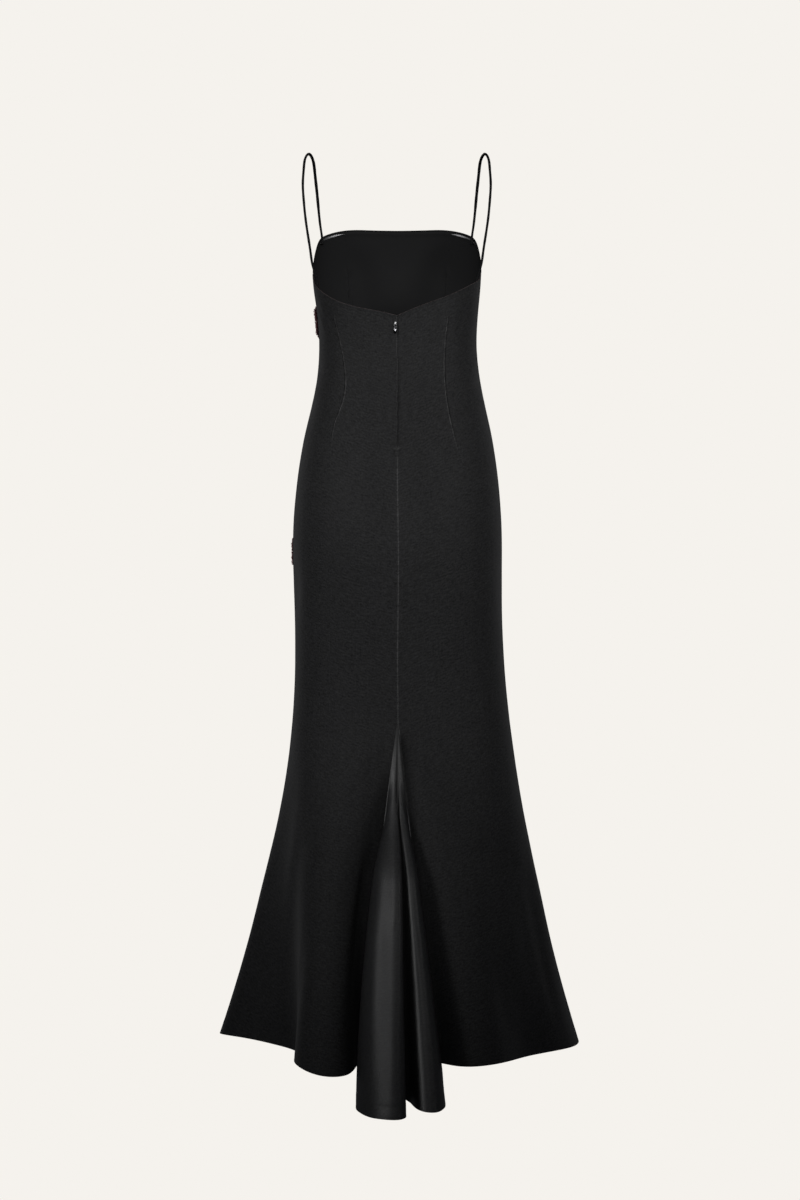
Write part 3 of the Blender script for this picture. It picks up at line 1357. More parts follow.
# ---------------------------------------------------------------- pieces sewn inside
def at_lengths(points, lengths, wanted):
    """Points of every row at the wanted lengths along it."""
    wanted = np.broadcast_to(wanted, (len(points), np.shape(wanted)[-1]))
    made = np.empty((*wanted.shape, 3))
    for r, row in enumerate(points):
        for axis in range(3):
            made[r, :, axis] = np.interp(wanted[r], lengths[r], row[:, axis])
    return made


def edge_rows(panel, edge, skip=1):
    """A panel's points and normals as rows that start at one of its edges."""
    outer, normals = PANELS[panel]["outer"], PANELS[panel]["normals"]
    if edge in ("top", "hem"):
        outer, normals = outer.swapaxes(0, 1), normals.swapaxes(0, 1)
    if edge in ("last", "hem"):
        outer, normals = outer[:, ::-1], normals[:, ::-1]
    return outer[::skip], normals[::skip]


def at_depths(outer, normals, wanted):
    """Places and normals at the wanted lengths along every row."""
    lengths = arc_lengths(outer, 1)
    return at_lengths(outer, lengths, wanted), unit(at_lengths(normals, lengths, wanted))


STRIP_THICK = 0.5 * MM
STRIP_INSIDE = 1.05 * MM
ALLOWANCE = (0.4 * MM, 12.0 * MM)
TURN_UP_FOLD = 1.2 * MM


def inner_strips(name, strips):
    """One piece of several strips laid against the inside of panels.

    A strip is a panel, an edge, two distances from it and how far inside the outer face
    it lies.
    """
    points, faces, first = [], [], 0
    for panel, edge, low, high, inside in strips:
        wanted = low + (high - low) * np.linspace(0.0, 1.0, 6)
        middle, facing = at_depths(*edge_rows(panel, edge, 2), wanted)
        near = middle - facing * inside
        more, quads = closed_strip(near, near - facing * STRIP_THICK, first)
        points.append(more)
        faces += quads
        first += len(more)
    finish = finish_named("reverse_plain")
    declare(clean_mesh(name, np.concatenate(points), faces, finish))


def allowances_and_turn_up():
    """Seam allowances pressed to each side of every seam, and the turned-up hem."""
    sides = [(panel, edge) for panel in CUT for edge in ("first", "last")]
    inner_strips("seam_allowances", [(*side, *ALLOWANCE, STRIP_INSIDE) for side in sides])
    turn_up = (TURN_UP_FOLD, bpy.context.scene.gown.hem_depth, STRIP_INSIDE + 0.7 * MM)
    inner_strips("hem_turn_up", [(panel, "hem", *turn_up) for panel in CUT])


STAY_SIDE = (0.43, 0.76)  # share of the front's half width over which a stay shows
STAY_FALL = (3.0 * MM, 5.8 * MM)
STAY_BRIGHT = 0.52


STAY_INSIDE = 1.7  # millimetres
STAY_COLUMNS = np.linspace(-1.0, 1.0, 9)


def corner_stay(name, sign):
    """The pale satin stay that holds a front corner, inside its turned edge."""
    outer, normals = edge_rows("front", "top")
    shares = (2.0 * PANELS["front"]["across"] - 1.0) * sign
    order = np.where((shares > STAY_SIDE[0]) & (shares < STAY_SIDE[1]))[0]
    outer, normals, shares = outer[order], normals[order], shares[order]
    run = (shares - STAY_SIDE[0]) / (STAY_SIDE[1] - STAY_SIDE[0])
    wide = np.clip(np.sin(math.pi * run), 0.02, 1.0) ** 0.6
    middle = 0.5 * (STAY_FALL[0] + STAY_FALL[1])
    half = 0.5 * (STAY_FALL[1] - STAY_FALL[0]) * wide
    wanted = middle + half[:, None] * STAY_COLUMNS[None, :]
    face, facing = at_depths(outer, normals, wanted)
    bow = 1.0 - STAY_COLUMNS**2
    near = face - facing * STAY_INSIDE * MM
    far = near - facing * (0.35 * MM + 0.9 * MM * bow[None, :, None])
    stay = clean_mesh(name, *closed_strip(near, far), finish_named("stay"))
    shade = np.repeat(bell(shares - STAY_BRIGHT, 0.10) * 0.92 + 0.08, len(STAY_COLUMNS))
    marked(stay.data, "shade", np.tile(shade, 2))
    declare(stay)


def edge_cord(name, panel, radius, up, inside, material):
    """A thin cord along a panel's turned top edge."""
    outer, normals = PANELS[panel]["outer"], PANELS[panel]["normals"]
    path = outer[0] + unit(outer[0] - outer[3]) * up - normals[0] * inside
    path = path[:: 1 if len(path) < 140 else 2]
    cord = tube(name, path, radius, 8, finish_named(material), axis=(0.0, 0.0, 1.0))
    declare(cord)


# ---------------------------------------------------------------- what repeats
def on_points(tree, item, start):
    """Put an item on every point, turned by the points' own "turn"."""
    kind = "GeometryNodeInputNamedAttribute"
    turn = add_node(tree, kind, {"Name": "turn"}, data_type="FLOAT_VECTOR")
    euler = add_node(tree, "FunctionNodeEulerToRotation", {0: turn.outputs["Attribute"]})
    points = {"Points": start.outputs["Geometry"], "Instance": item, "Rotation": euler.outputs[0]}
    return add_node(tree, "GeometryNodeInstanceOnPoints", points).outputs["Instances"]


def ring_curve(tree, radius, sides):
    """A circle of so many sides."""
    inputs = {"Radius": radius, "Resolution": sides}
    return add_node(tree, "GeometryNodeCurvePrimitiveCircle", inputs).outputs["Curve"]


def thread_round(tree, curve, start, sides):
    """Give a curve the round section of a thread."""
    ring = ring_curve(tree, start.outputs["Thread Radius"], sides)
    inputs = {"Curve": curve, "Profile Curve": ring, "Fill Caps": True}
    return add_node(tree, "GeometryNodeCurveToMesh", inputs).outputs["Mesh"]


def stitches(tree, start):
    """A short bowed thread on every point."""
    corners = {"Resolution": 5}
    for corner, along, up in (("Start", -0.5, -0.2), ("Middle", 0.0, 1.8), ("End", 0.5, -0.2)):
        place = {}
        for axis, size, share in (("X", "Stitch Length", along), ("Z", "Stitch Rise", up)):
            inputs = {0: start.outputs[size], 1: share}
            scaled = add_node(tree, "ShaderNodeMath", inputs, operation="MULTIPLY")
            place[axis] = scaled.outputs["Value"]
        corners[corner] = add_node(tree, "ShaderNodeCombineXYZ", place).outputs["Vector"]
    bow = add_node(tree, "GeometryNodeCurveQuadraticBezier", corners)
    return on_points(tree, thread_round(tree, bow.outputs["Curve"], start, 6), start)


def coil(tree, start):
    """A loop of monofilament on every point."""
    loop = ring_curve(tree, start.outputs["Loop Radius"], 10)
    return on_points(tree, thread_round(tree, loop, start, 5), start)


def threads(tree, start):
    """A round thread along every line of edges."""
    lines = add_node(tree, "GeometryNodeMeshToCurve", {"Mesh": start.outputs["Geometry"]})
    return thread_round(tree, lines.outputs["Curve"], start, 5)


def knots_on_points(tree, start):
    """A small knobbly ball on every point."""
    inputs = {"Radius": start.outputs["Knot Radius"], "Subdivisions": 2}
    ball = add_node(tree, "GeometryNodeMeshIcoSphere", inputs)
    return on_points(tree, ball.outputs["Mesh"], start)


def grown_tree(name, sizes, make, finish):
    """A geometry tree with named sizes, whose result is realized, smooth and finished."""
    tree = bpy.data.node_groups.new(name, "GeometryNodeTree")
    tree.interface.new_socket("Geometry", in_out="INPUT", socket_type="NodeSocketGeometry")
    for label, value in sizes.items():
        socket = tree.interface.new_socket(label, in_out="INPUT", socket_type="NodeSocketFloat")
        socket.subtype = "DISTANCE"
        socket.default_value = value
    tree.interface.new_socket("Geometry", in_out="OUTPUT", socket_type="NodeSocketGeometry")
    geometry = make(tree, add_node(tree, "NodeGroupInput"))
    for kind, inputs in (
        ("GeometryNodeRealizeInstances", {}),
        ("GeometryNodeSetShadeSmooth", {}),
        ("GeometryNodeSetMaterial", {"Material": finish_named(finish)}),
    ):
        geometry = add_node(tree, kind, {"Geometry": geometry, **inputs}).outputs["Geometry"]
    add_node(tree, "NodeGroupOutput", {"Geometry": geometry})
    return tree


def grown(name, mesh, tree, slot="satin"):
    """Run a tree on a mesh of points or edges and keep the result as a plain mesh."""
    thing = link(name, mesh)
    modifier = thing.modifiers.new("grow", "NODES")
    modifier.node_group = tree
    graph = bpy.context.evaluated_depsgraph_get()
    made = bpy.data.meshes.new_from_object(
        thing.evaluated_get(graph), preserve_all_data_layers=True, depsgraph=graph
    )
    if not len(made.polygons):
        raise RuntimeError(f"{name} came out empty")
    thing.modifiers.remove(modifier)
    thing.data = made
    declare(thing)


def turned_points(name, places, along, normals):
    """A mesh of points that know how an item on each of them is turned."""
    mesh = bpy.data.meshes.new(name)
    mesh.from_pydata(np.asarray(places, float).tolist(), [], [])
    turns = []
    for run, out in zip(along, normals):
        x_axis = Vector(run).normalized()
        z_axis = Vector(out).normalized()
        y_axis = z_axis.cross(x_axis).normalized()
        z_axis = x_axis.cross(y_axis)
        matrix = Matrix((x_axis, y_axis, z_axis)).transposed()
        turns += list(matrix.to_euler("XYZ"))
    mesh.attributes.new("turn", "FLOAT_VECTOR", "POINT").data.foreach_set("vector", turns)
    return mesh


def along_path(path, normals, pitch):
    """Places, directions and normals at an even pitch along a path."""
    lengths = arc_lengths(path[None], 1)[0]
    at = np.arange(pitch, lengths[-1] - pitch, pitch)

    def met(values, lengths_at):
        return np.stack([np.interp(lengths_at, lengths, values[:, k]) for k in range(3)], axis=1)

    place = met(path, at)
    return place, unit(met(path, at + 0.5 * MM) - place + 1e-9), unit(met(normals, at))


HEM_STITCH = {"Stitch Length": 1.1 * MM, "Thread Radius": 0.14 * MM, "Stitch Rise": 0.18 * MM}
CLOSING_STITCH = {"Stitch Length": 1.9 * MM, "Thread Radius": 0.17 * MM, "Stitch Rise": 0.25 * MM}
STITCH_LIFT = 0.05 * MM
HEM_PITCH = 9.5 * MM
CLOSING_PITCH = 4.6 * MM


def stitched(name, tree_name, sizes, rows):
    """Stitches from rows of places, directions and normals."""
    mesh = turned_points(name, *(np.concatenate(parts) for parts in zip(*rows)))
    grown(name, mesh, grown_tree(tree_name, sizes, stitches, "thread"))


def seam_line(panel, edge, depth):
    """The line on a panel at a depth from its edge, and its normals."""
    places, normals = at_depths(*edge_rows(panel, edge), np.array([depth]))
    return places[:, 0], normals[:, 0]


def hem_stitches():
    """Blind stitches that hold the turned-up hem: a pick of thread every centimetre."""
    rows = []
    for panel in CUT:
        line, out = seam_line(panel, "hem", bpy.context.scene.gown.hem_depth - 1.5 * MM)
        place, ahead, up = along_path(line, out, HEM_PITCH)
        rows.append((place + up * STITCH_LIFT, ahead, up))
    stitched("hem_stitches", "hem_stitch", HEM_STITCH, rows)


CLOSING_START = 0.805
CLOSING_END = 0.884


def closing_stitches():
    """Hand stitches that close the centre back seam above the godet, and its tack."""
    rows = []
    for panel, sign in (("back_left", -1.0), ("back_right", 1.0)):
        line, out = seam_line(panel, "first", 1.3 * MM)
        keep = (-line[:, 2] > CLOSING_START) & (-line[:, 2] < CLOSING_END)
        place, ahead, up = along_path(line[keep], out[keep], CLOSING_PITCH)
        rows.append((place + up * STITCH_LIFT, ahead + np.array([0.35 * sign, 0.0, 0.0]), up))
    for k in range(-2, 3):
        middle = centre_back(TACK_DROP - k * 0.35 * MM, 0.5 * MM)
        rows.append(([middle], [(1.0, 0.0, 0.05 * k)], [(0.0, -1.0, 0.0)]))
    stitched("closing_stitches", "closing_stitch", CLOSING_STITCH, rows)


def centre_back(drop, out):
    """A point on the centre back seam at a drop, moved out of the cloth."""
    outer = PANELS["back_left"]["outer"][:, 0]
    y = np.interp(drop, -outer[:, 2], outer[:, 1])
    return (0.0, float(y) - out, -drop)


# ---------------------------------------------------------------- zip
HINGE = (-0.0035, -0.0923, -0.2785)
ZIP_TOP = 0.268
TAPE_WIDE = 13.0 * MM


COIL = {"Loop Radius": 1.0 * MM, "Thread Radius": 0.2 * MM}
COIL_PITCH = 1.15 * MM
COIL_SIDES = (-0.55 * MM, 0.55 * MM)
COIL_INSIDE = 2.9  # millimetres, as are the next two
TAPE_INSIDE = 2.0
TAPE_THICK = 0.35
TAPE_START = 0.8 * MM
TAPE_PAST = 0.012


def zip_inside():
    """The concealed zip's coil and its two tapes, inside the centre back seam."""
    outer, facing = edge_rows("back_left", "first")
    line, out = outer[:, 0], facing[:, 0]
    keep = (-line[:, 2] > ZIP_TOP) & (-line[:, 2] < ZIP_END)
    place, ahead, up = along_path(line[keep], out[keep], COIL_PITCH)
    inside = place - up * COIL_INSIDE * MM
    places = np.concatenate([inside + np.array([side, 0.0, 0.0]) for side in COIL_SIDES])
    along = np.concatenate([np.broadcast_to((1.0, 0.0, 0.25), ahead.shape)] * 2)
    mesh = turned_points("zip_coil", places, along, np.concatenate([ahead, ahead]))
    grown("zip_coil", mesh, grown_tree("zip_loop", COIL, coil, "coil"))
    for side in ("left", "right"):
        outer, facing = edge_rows(f"back_{side}", "first")
        wanted = TAPE_START + np.linspace(0.0, TAPE_WIDE, 6)
        face, direct = at_depths(outer, facing, wanted)
        rows = (-outer[:, 0, 2] > ZIP_TOP) & (-outer[:, 0, 2] < ZIP_END + TAPE_PAST)
        near = face[rows] - direct[rows] * TAPE_INSIDE * MM
        strip = closed_strip(near, near - direct[rows] * TAPE_THICK * MM)
        declare(clean_mesh(f"zip_tape_{side}", *strip, finish_named("tape")))


def superellipse(half_wide, half_high, corner, count):
    """Corners of a rounded rectangle."""
    turn = np.linspace(0.0, 2.0 * math.pi, count, endpoint=False)
    x = np.sign(np.cos(turn)) * np.abs(np.cos(turn)) ** (2.0 / corner) * half_wide
    z = np.sign(np.sin(turn)) * np.abs(np.sin(turn)) ** (2.0 / corner) * half_high
    return np.stack([x, z], axis=1)


SLIDER_HALF = (2.3 * MM, 4.4 * MM)
# The plate's rings: depth in millimetres from the hinge and share of the outline.
SLIDER_RINGS = ((1.30, 0.80), (1.36, 0.93), (1.60, 1.0), (2.55, 1.0), (2.82, 0.93), (2.90, 0.78))
BRIDGE_REACH = 1.45 * MM
BRIDGE_RADIUS = 0.55 * MM


def make_slider():
    """The slider: a pillowed plate with the arched bridge that carries the pull."""
    x, y, z = HINGE
    wide, high = SLIDER_HALF
    rings = []
    for depth, share in SLIDER_RINGS:
        flat = superellipse(wide * share, high * (1.0 - 0.6 * (1.0 - share)), 3.4, 40)
        taper = 1.0 - 0.16 * (flat[:, 1] < 0) * np.abs(flat[:, 1]) / high
        depths = np.full(len(flat), y + depth * MM)
        ring = [x + flat[:, 0] * taper, depths, z + 0.8 * MM + flat[:, 1]]
        rings.append(np.stack(ring, axis=1))
    plate = stacked("slider_plate", rings, finish_named("slider"))
    turn = np.linspace(-0.12, math.pi + 0.12, 25)
    arch = [np.full(25, x), y - BRIDGE_REACH * np.sin(turn), z + BRIDGE_REACH * np.cos(turn)]
    foot = np.array([[x, y + 1.7 * MM, z + BRIDGE_REACH]])
    other_foot = foot - np.array([[0.0, 0.0, 2.0 * BRIDGE_REACH]])
    path = np.concatenate([foot, np.stack(arch, axis=1), other_foot])
    bridge = tube("slider_bridge", path, BRIDGE_RADIUS, 12, finish_named("slider"))
    declare(plate, "zip_slider")
    declare(bridge)


PULL_OUTLINE = columns(
    ("below", "half"),
    (
        (-0.0005, 0.0015),
        (0.0006, 0.00205),
        (0.0026, 0.00205),
        (0.0045, 0.00185),
        (0.0075, 0.00235),
        (0.0105, 0.0026),
        (0.0124, 0.0021),
        (0.0134, 0.0010),
    ),
)


PULL_SHARES = (1.0, 0.985, 0.95, 0.9, 0.84, 0.76, 0.66, 0.52, 0.35, 0.15, 0.03, 0.0)
PULL_CORNERS = 64
PULL_ENDS = (-0.0007, 0.0136)
PULL_HALF_THICK = 0.45 * MM
PULL_BACK = 0.5 * MM
PULL_DOME = 0.6 * MM
EYE_MIDDLE = -1.55 * MM


def make_pull():
    """The pull: a domed drop of nickel with an eye round the bridge."""
    x, y, z = HINGE
    whole = 2.0 * math.pi
    turn = np.linspace(0.0, whole, PULL_CORNERS, endpoint=False)
    below = np.concatenate([[PULL_ENDS[0]], PULL_OUTLINE["below"], [PULL_ENDS[1]]])
    half = np.concatenate([[0.0], PULL_OUTLINE["half"], [0.0]])
    fine = np.linspace(below[0], below[-1], 400)
    wide = np.interp(fine, below, half)
    side = np.concatenate([np.stack([wide, -fine], 1), np.stack([-wide[::-1], -fine[::-1]], 1)])
    angle = np.unwrap(np.arctan2(side[:, 1] - EYE_MIDDLE, side[:, 0]))
    order = np.argsort(angle)
    angle, side = angle[order] % whole, side[order]
    outline = np.stack([np.interp(turn, angle, side[:, k], period=whole) for k in (0, 1)], 1)
    eye = superellipse(1.15 * MM, 1.05 * MM, 3.2, PULL_CORNERS) + np.array([0.0, EYE_MIDDLE])
    front, back = [], []
    for share in PULL_SHARES:
        flat = eye + (outline - eye) * share
        level = PULL_HALF_THICK * (1.0 - abs(2.0 * share - 1.0) ** 3.5) ** 0.5
        reach = np.interp(-flat[:, 1], fine, wide) + 1e-6
        dome = np.sqrt(np.clip(1.0 - (flat[:, 0] / reach) ** 2, 0.0, 1.0))
        low = smooth_step(-flat[:, 1] - 1.2 * MM, 3.0 * MM) * smooth_step(share, 0.7)
        rise = level + PULL_DOME * low * dome * (1.0 - share**8) ** 0.5
        place_x, place_z = x + flat[:, 0], z + flat[:, 1]
        front.append(np.stack([place_x, y - rise, place_z], axis=1))
        back.append(np.stack([place_x, y + np.minimum(rise, PULL_BACK), place_z], axis=1))
    rings = front + back[::-1][1:-1]
    tab = stacked("pull_tab", rings, finish_named("pull"), closed_ends=False)
    declare(tab, "zip_pull", body="pull")


# ---------------------------------------------------------------- embroidery
# Flowers: name, distance from the seam, drop, radius, thickness and lift of the rim.
FLOWERS = (
    ("flower_bust", 0.0285, 0.2640, 0.0270, 0.0014, 0.0030),
    ("flower_hip", 0.0290, 0.6280, 0.0275, 0.0012, 0.0008),
)
PETALS = 5
PETAL_NOTCH = 0.26
PETAL_THREADS = 26
RIM_LOOPS = 60
RIM_SHADES = (0.9, 1.0, 0.35, 1.0, 0.1, 0.95, 0.6)
# Leaves: distance from the seam, drop, length, half width and lean.
LEAVES = (
    (0.0330, 0.3080, 0.0200, 0.0062, 1.25),
    (0.0500, 0.2330, 0.0170, 0.0055, -0.75),
    (0.0280, 0.6780, 0.0240, 0.0070, 1.45),
    (0.0480, 0.5850, 0.0190, 0.0060, -0.9),
)
# Stems: distance from the seam, the drops of both ends, and sway.
STEMS = (
    (0.032, 0.285, 0.330, 0.004),
    (0.030, 0.650, 0.702, -0.004),
    (0.040, 0.225, 0.250, 0.003),
)
STEM_TWIST = 1500.0
LEAF_PITCH = 0.62 * MM
KNOTS = 34
GOLDEN_TURN = 2.39996
HEART_SHARE = 0.22
CLOTH_GAP = 0.4 * MM
PUFF = 0.6 * MM
FLOWER_THREAD = {"Thread Radius": 0.42 * MM}
FLOWER_KNOT = {"Knot Radius": 0.75 * MM}
LEAF_THREAD = {"Thread Radius": 0.36 * MM}
SIDE_DROPS = np.linspace(0.19, 1.38, 60)


def side_metres():
    """How many metres one share of the front's half width is, beside the left seam."""
    edge = np.full_like(SIDE_DROPS, -1.0)
    step = front_point(edge + PROBE, SIDE_DROPS) - front_point(edge, SIDE_DROPS)
    return np.linalg.norm(step, axis=-1) / PROBE


SIDE_METRES = side_metres()


def beside_seam(side, drop):
    """A point and normal on the front, a distance forward of the left side seam."""
    drop = np.asarray(drop, float)
    share = -1.0 + np.asarray(side, float) / np.interp(drop, SIDE_DROPS, SIDE_METRES)
    over = front_point(share + PROBE, drop) - front_point(share - PROBE, drop)
    under = front_point(share, drop + DROP_PROBE) - front_point(share, drop - DROP_PROBE)
    return front_point(share, drop), unit(np.cross(over, under))


def petal_reach(radius, ring, turn):
    """How far out a place on a flower lies: its rim draws in between the petals."""
    petal = np.abs(np.cos(PETALS * turn / 2.0))
    return radius * ring * (1.0 - PETAL_NOTCH * (1.0 - petal) * ring)


def line_mesh(name, lines, shades):
    """A mesh of lines of edges, with a shade for each line."""
    points, edges, shade = [], [], []
    for line, tone in zip(lines, shades):
        first = len(points)
        points += [tuple(map(float, point)) for point in line]
        edges += [(first + k, first + k + 1) for k in range(len(line) - 1)]
        shade += [tone] * len(line)
    mesh = bpy.data.meshes.new(name)
    mesh.from_pydata(points, edges, [])
    marked(mesh, "shade", shade)
    return mesh


def make_flower(name, side, drop, radius, thick, lift, rng):
    """A raised flower: a padded ground, threads laid out from its heart, and knots."""

    def on_flower(ring, turn, height):
        reach = petal_reach(radius, ring, turn)
        place, normal = beside_seam(side + reach * np.cos(turn), drop + reach * np.sin(turn))
        rise = CLOTH_GAP + lift * ring**2 + height
        return place + normal * np.asarray(rise)[..., None]

    def padding(ring):
        return thick * (1.0 - 0.25 * ring**3)

    rings, turns = np.broadcast_arrays(
        np.linspace(0.04, 0.97, 12)[:, None], np.linspace(0.0, 2.0 * math.pi, 121)[None, :-1]
    )
    body = padding(rings) * (0.55 + 0.45 * np.abs(np.cos(PETALS * turns / 2.0)) ** 0.6)
    loops = list(on_flower(rings, turns, 0.0)) + list(on_flower(rings, turns, body)[::-1])
    declare(stacked(f"{name}_ground", loops, finish_named("ground")), name)
    lines, shades = [], []
    along = np.linspace(0.0, 1.0, 9)
    for petal in range(PETALS):
        middle = 2.0 * math.pi * petal / PETALS
        contrast = petal % 2 * 0.6 + 0.5
        for k in range(PETAL_THREADS):
            off = (k + 0.5) / PETAL_THREADS * 2.0 - 1.0
            turn = middle + off * (math.pi / PETALS) * (0.55 + 0.42 * along)
            start = 0.20 + 0.12 * rng.random() + 0.10 * abs(off)
            ring = start + (1.0 - start - 0.02 * rng.random()) * along
            puff = PUFF * np.sin(math.pi * along) * (1.0 - 0.6 * off**2)
            lines.append(on_flower(ring, turn, padding(ring) + puff))
            tone = 0.62 + 0.3 * math.cos(2.5 * off) * contrast - 0.35 * abs(off)
            tone += 0.25 * (rng.random() - 0.5)
            shades.append(float(np.clip(tone, 0.05, 1.0)))
        for sign in (-1.0, 1.0):
            turn = middle + sign * (math.pi / PETALS) * (0.25 + 0.72 * along)
            rim = 1.0 - 0.10 * (1.0 - along)
            lines.append(on_flower(rim, turn, thick * 0.75 + 0.25 * MM))
            shades.append(0.12)
    for k in range(RIM_LOOPS):
        turn = 2.0 * math.pi * (k + rng.random()) / RIM_LOOPS + 0.05 * np.sin(math.pi * along)
        stand = (0.2 + 1.5 * rng.random()) * MM * np.sin(math.pi * (0.15 + 0.75 * along))
        lines.append(on_flower(0.90 + 0.13 * along, turn, 0.6 * thick + stand))
        shades.append(RIM_SHADES[k % len(RIM_SHADES)])
    tree = grown_tree(f"{name}_thread", FLOWER_THREAD, threads, "rose")
    grown(f"{name}_threads", line_mesh(name, lines, shades), tree, "rose_thread")
    order = np.arange(KNOTS)
    ring = HEART_SHARE * np.sqrt((order + 0.5) / KNOTS)
    place = on_flower(ring, GOLDEN_TURN * order, thick + 0.35 * MM)
    normal = beside_seam(np.full(KNOTS, side), np.full(KNOTS, drop))[1]
    turns = np.broadcast_to((0.3, 0.1, 1.0), place.shape)
    tree = grown_tree(f"{name}_knot", FLOWER_KNOT, knots_on_points, "heart")
    mesh = turned_points(f"{name}_knots", place, turns, normal)
    grown(f"{name}_knots", mesh, tree, "rose_thread")


def make_leaves(rng):
    """Satin-stitch leaves and a stem that join the sprays beside the left side seam."""
    lines, shades = [], []
    along = np.linspace(-1.0, 1.0, 6)
    for side, drop, length, half, lean in LEAVES:
        count = int(length / LEAF_PITCH)
        for k in range(count):
            share = (k + 0.5) / count
            wide = half * math.sin(math.pi * share) ** 0.7
            middle = (share - 0.5) * length
            run = middle * math.cos(lean) - along * wide * math.sin(lean) * 0.9
            fall = middle * math.sin(lean) + along * wide * math.cos(lean) * 0.9
            fall = fall + 0.35 * wide * np.abs(along) * math.sin(lean)
            place, normal = beside_seam(side + run, drop + fall)
            height = 0.5 * MM + 0.5 * MM * (1.0 - along**2)
            lines.append(place + normal * height[:, None])
            shades.append(0.30 + 0.25 * rng.random() + 0.12 * (k % 2))
    for side, top, bottom, sway in STEMS:
        for strand in (-0.5, 0.5):
            fall = np.linspace(top, bottom, 24)
            run = side + sway * np.sin((fall - top) / (bottom - top) * math.pi)
            run = run + strand * 0.8 * MM * np.cos(fall * STEM_TWIST)
            height = 0.55 + 0.3 * strand * np.sin(fall * STEM_TWIST)
            place, normal = beside_seam(run, fall)
            lines.append(place + normal * height[:, None] * MM)
            shades.append(0.2)
    tree = grown_tree("leaf_thread", LEAF_THREAD, threads, "rose")
    grown("embroidered_leaves", line_mesh("leaves", lines, shades), tree, "rose_thread")


# ---------------------------------------------------------------- stage
# Lights: place, the point it looks at, cone in degrees, softness and power.
LIGHTS = (
    ("key", (0.1, -4.6, 0.6), (0.0, 0.0, -0.50), 24.0, 0.45, 295.0),
    ("left", (-3.0, -2.7, 0.6), (0.0, 0.0, -0.60), 30.0, 0.6, 275.0),
    ("right", (3.1, -2.9, 0.6), (0.0, 0.0, -0.24), 27.0, 0.6, 310.0),
    ("front_left", (-2.6, 3.4, 0.9), (0.0, 0.0, -0.6), 46.0, 0.7, 520.0),
    ("front_right", (2.8, 3.0, 0.9), (0.0, 0.0, -0.6), 46.0, 0.7, 380.0),
)
WORLD_COLOUR = (0.9, 0.93, 1.0, 1.0)
WORLD_STRENGTH = 0.06
FLOOR_SIZE = 40.0
DOME_RADIUS = 19.0


def make_stage():
    """Pale dome and floor, soft lights and the camera."""
    scene = bpy.context.scene
    scene.view_settings.view_transform = "Standard"
    pale = pale_material()
    bpy.ops.mesh.primitive_plane_add(size=FLOOR_SIZE, location=(0.0, 0.0, -FLOOR_DROP))
    floor = bpy.context.object
    floor.name = "floor"
    bpy.ops.mesh.primitive_uv_sphere_add(segments=48, ring_count=24, radius=DOME_RADIUS)
    dome = bpy.context.object
    dome.name = "backdrop"
    for thing in (floor, dome):
        thing.data.materials.append(pale)
        thing.visible_glossy = False
        thing.visible_diffuse = False
        thing.visible_shadow = False
    world = scene.world or bpy.data.worlds.new("studio")
    scene.world = world
    world.use_nodes = True
    background = world.node_tree.nodes["Background"]
    background.inputs["Color"].default_value = WORLD_COLOUR
    background.inputs["Strength"].default_value = WORLD_STRENGTH
    for name, place, target, cone, radius, power in LIGHTS:
        data = bpy.data.lights.new(name, "SPOT")
        data.spot_size = math.radians(cone)
        data.spot_blend = 1.0
        data.shadow_soft_size = radius
        data.energy = power
        lamp = bpy.data.objects.new(name, data)
        lamp.location = place
        lamp.rotation_euler = (Vector(target) - Vector(place)).to_track_quat("-Z", "Y").to_euler()
        lamp.visible_camera = False
        lamp.visible_glossy = not name.startswith("front")
        scene.collection.objects.link(lamp)
    data = bpy.data.cameras.new("camera")
    data.lens = LENS
    camera = bpy.data.objects.new("camera", data)
    camera.location = CAMERA_PLACE
    camera.rotation_euler = (math.pi / 2.0, 0.0, 0.0)
    scene.collection.objects.link(camera)
    scene.camera = camera


# ---------------------------------------------------------------- add-on
def colour_setting(label, description, default):
    """A colour of the gown."""
    return bpy.props.FloatVectorProperty(
        name=label, description=description, default=default,
        subtype="COLOR", min=0.0, max=1.0, precision=4,
    )


def length_setting(label, description, default):
    """A size of the gown in metres."""
    return bpy.props.FloatProperty(
        name=label, description=description, default=default, unit="LENGTH", precision=5
    )


class GownSettings(bpy.types.PropertyGroup):
    """Sizes and strengths that change the gown's finish."""

    satin_colour: colour_setting("Satin", "Colour of the satin", (0.0150, 0.0150, 0.0154))
    strap_colour: colour_setting("Straps", "Colour of the straps", (0.0035, 0.0035, 0.0038))
    hem_depth: length_setting("Hem", "Depth of the turned-up hem", 21.0 * MM)
    strap_radius: length_setting("Strap radius", "Radius of the strap cords", 1.8 * MM)
    cloth_thickness: length_setting("Cloth", "Thickness of the satin", 0.8 * MM)
    crease_strength: bpy.props.FloatProperty(
        name="Creases", description="How strongly the creases show", default=1.0, subtype="FACTOR"
    )


class GOWN_OT_panels(bpy.types.Operator):
    """Make the four panels of cloth"""

    bl_idname = "gown.panels"
    bl_label = "Cloth Panels"

    def execute(self, context):
        front = front_panel()
        left = back_panel(-1)
        right = back_panel(1)
        fan = godet_panel()
        return {"FINISHED"}


class GOWN_OT_straps(bpy.types.Operator):
    """Make the two shoulder straps"""

    bl_idname = "gown.straps"
    bl_label = "Shoulder Straps"

    def execute(self, context):
        strap("strap_left", 1.0)
        strap("strap_right", -RIGHT_STRAP_SCALE)
        return {"FINISHED"}


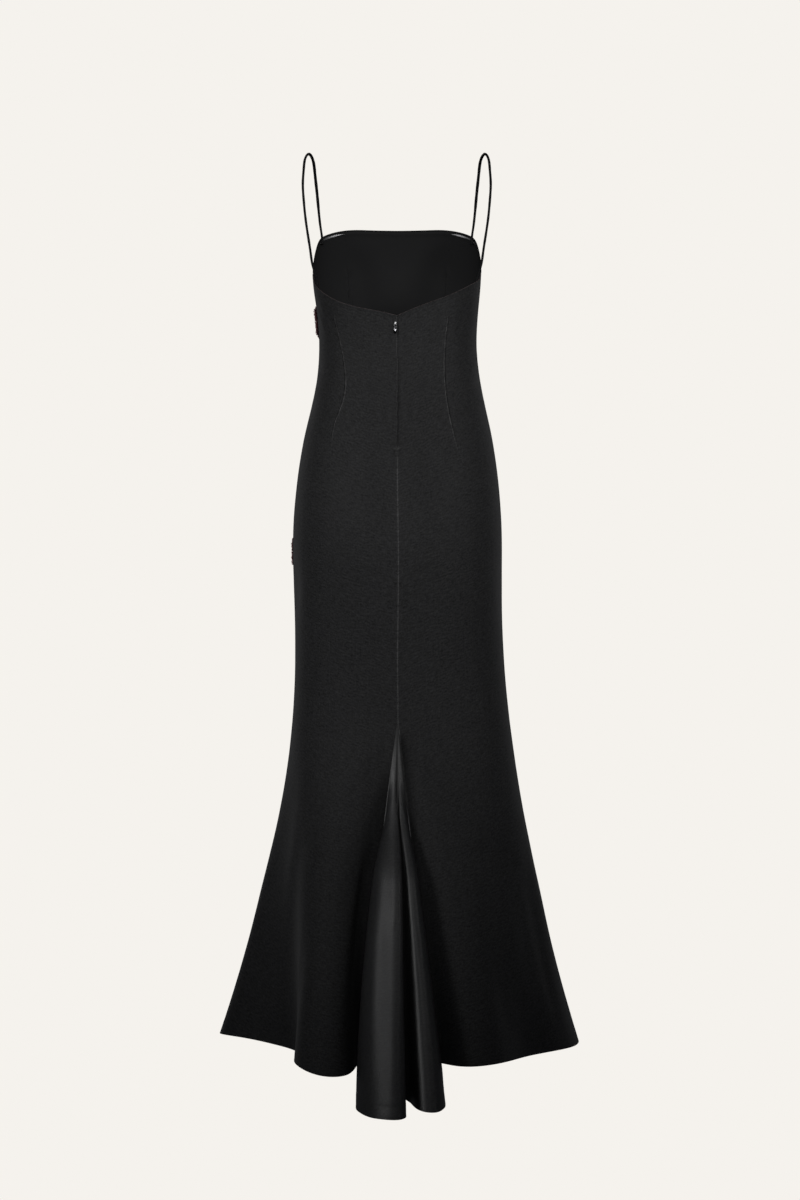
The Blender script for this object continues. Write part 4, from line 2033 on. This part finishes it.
class GOWN_OT_sewing(bpy.types.Operator):
    """Make the allowances, turned hem, edge cords, stays and stitches"""

    bl_idname = "gown.sewing"
    bl_label = "Sewing"

    def execute(self, context):
        allowances_and_turn_up()
        corner_stay("corner_stay_left", -1)
        corner_stay("corner_stay_right", 1)
        edge_cord("front_edge_cord", "front", 1.15 * MM, 0.2 * MM, 1.0 * MM, "edge")
        binding = (0.42 * MM, 0.25 * MM, 0.7 * MM, "binding")
        for side in ("left", "right"):
            edge_cord(f"neck_binding_{side}", f"back_{side}", *binding)
        hem_stitches()
        closing_stitches()
        return {"FINISHED"}


class GOWN_OT_zip(bpy.types.Operator):
    """Make the concealed zip: slider, pull, coil and tapes"""

    bl_idname = "gown.zip"
    bl_label = "Zip"

    def execute(self, context):
        make_slider()
        make_pull()
        zip_inside()
        return {"FINISHED"}


class GOWN_OT_embroidery(bpy.types.Operator):
    """Make the raised flowers and leaves beside the left side seam"""

    bl_idname = "gown.embroidery"
    bl_label = "Embroidery"

    def execute(self, context):
        rng = np.random.default_rng(11)
        for row in FLOWERS:
            make_flower(*row, rng)
        make_leaves(rng)
        return {"FINISHED"}


class GOWN_OT_stage(bpy.types.Operator):
    """Make the pale stage, the lights and the camera"""

    bl_idname = "gown.stage"
    bl_label = "Stage"

    def execute(self, context):
        make_stage()
        return {"FINISHED"}


class GOWN_PT_sidebar(bpy.types.Panel):
    """Lists the gown's makers"""

    bl_idname = "GOWN_PT_sidebar"
    bl_label = "Gown"
    bl_space_type = "VIEW_3D"
    bl_region_type = "UI"
    bl_category = "Gown"

    def draw(self, context):
        settings = context.scene.gown
        for name in GownSettings.__annotations__:
            self.layout.prop(settings, name)
        for operator in OPERATORS:
            self.layout.operator(operator.bl_idname)


OPERATORS = (
    GOWN_OT_stage,
    GOWN_OT_panels,
    GOWN_OT_straps,
    GOWN_OT_sewing,
    GOWN_OT_zip,
    GOWN_OT_embroidery,
)
CLASSES = (GownSettings, *OPERATORS, GOWN_PT_sidebar)


def register():
    """Register the classes and the settings."""
    for cls in CLASSES:
        bpy.utils.register_class(cls)
    bpy.types.Scene.gown = bpy.props.PointerProperty(type=GownSettings)


def unregister():
    """Take the settings and the classes away again."""
    del bpy.types.Scene.gown
    for cls in reversed(CLASSES):
        bpy.utils.unregister_class(cls)


def main():
    """Build every piece and write how big the gown came out."""
    register()
    for operator in OPERATORS:
        group, name = operator.bl_idname.split(".")
        getattr(getattr(bpy.ops, group), name)()


if __name__ == "__main__":
    main()
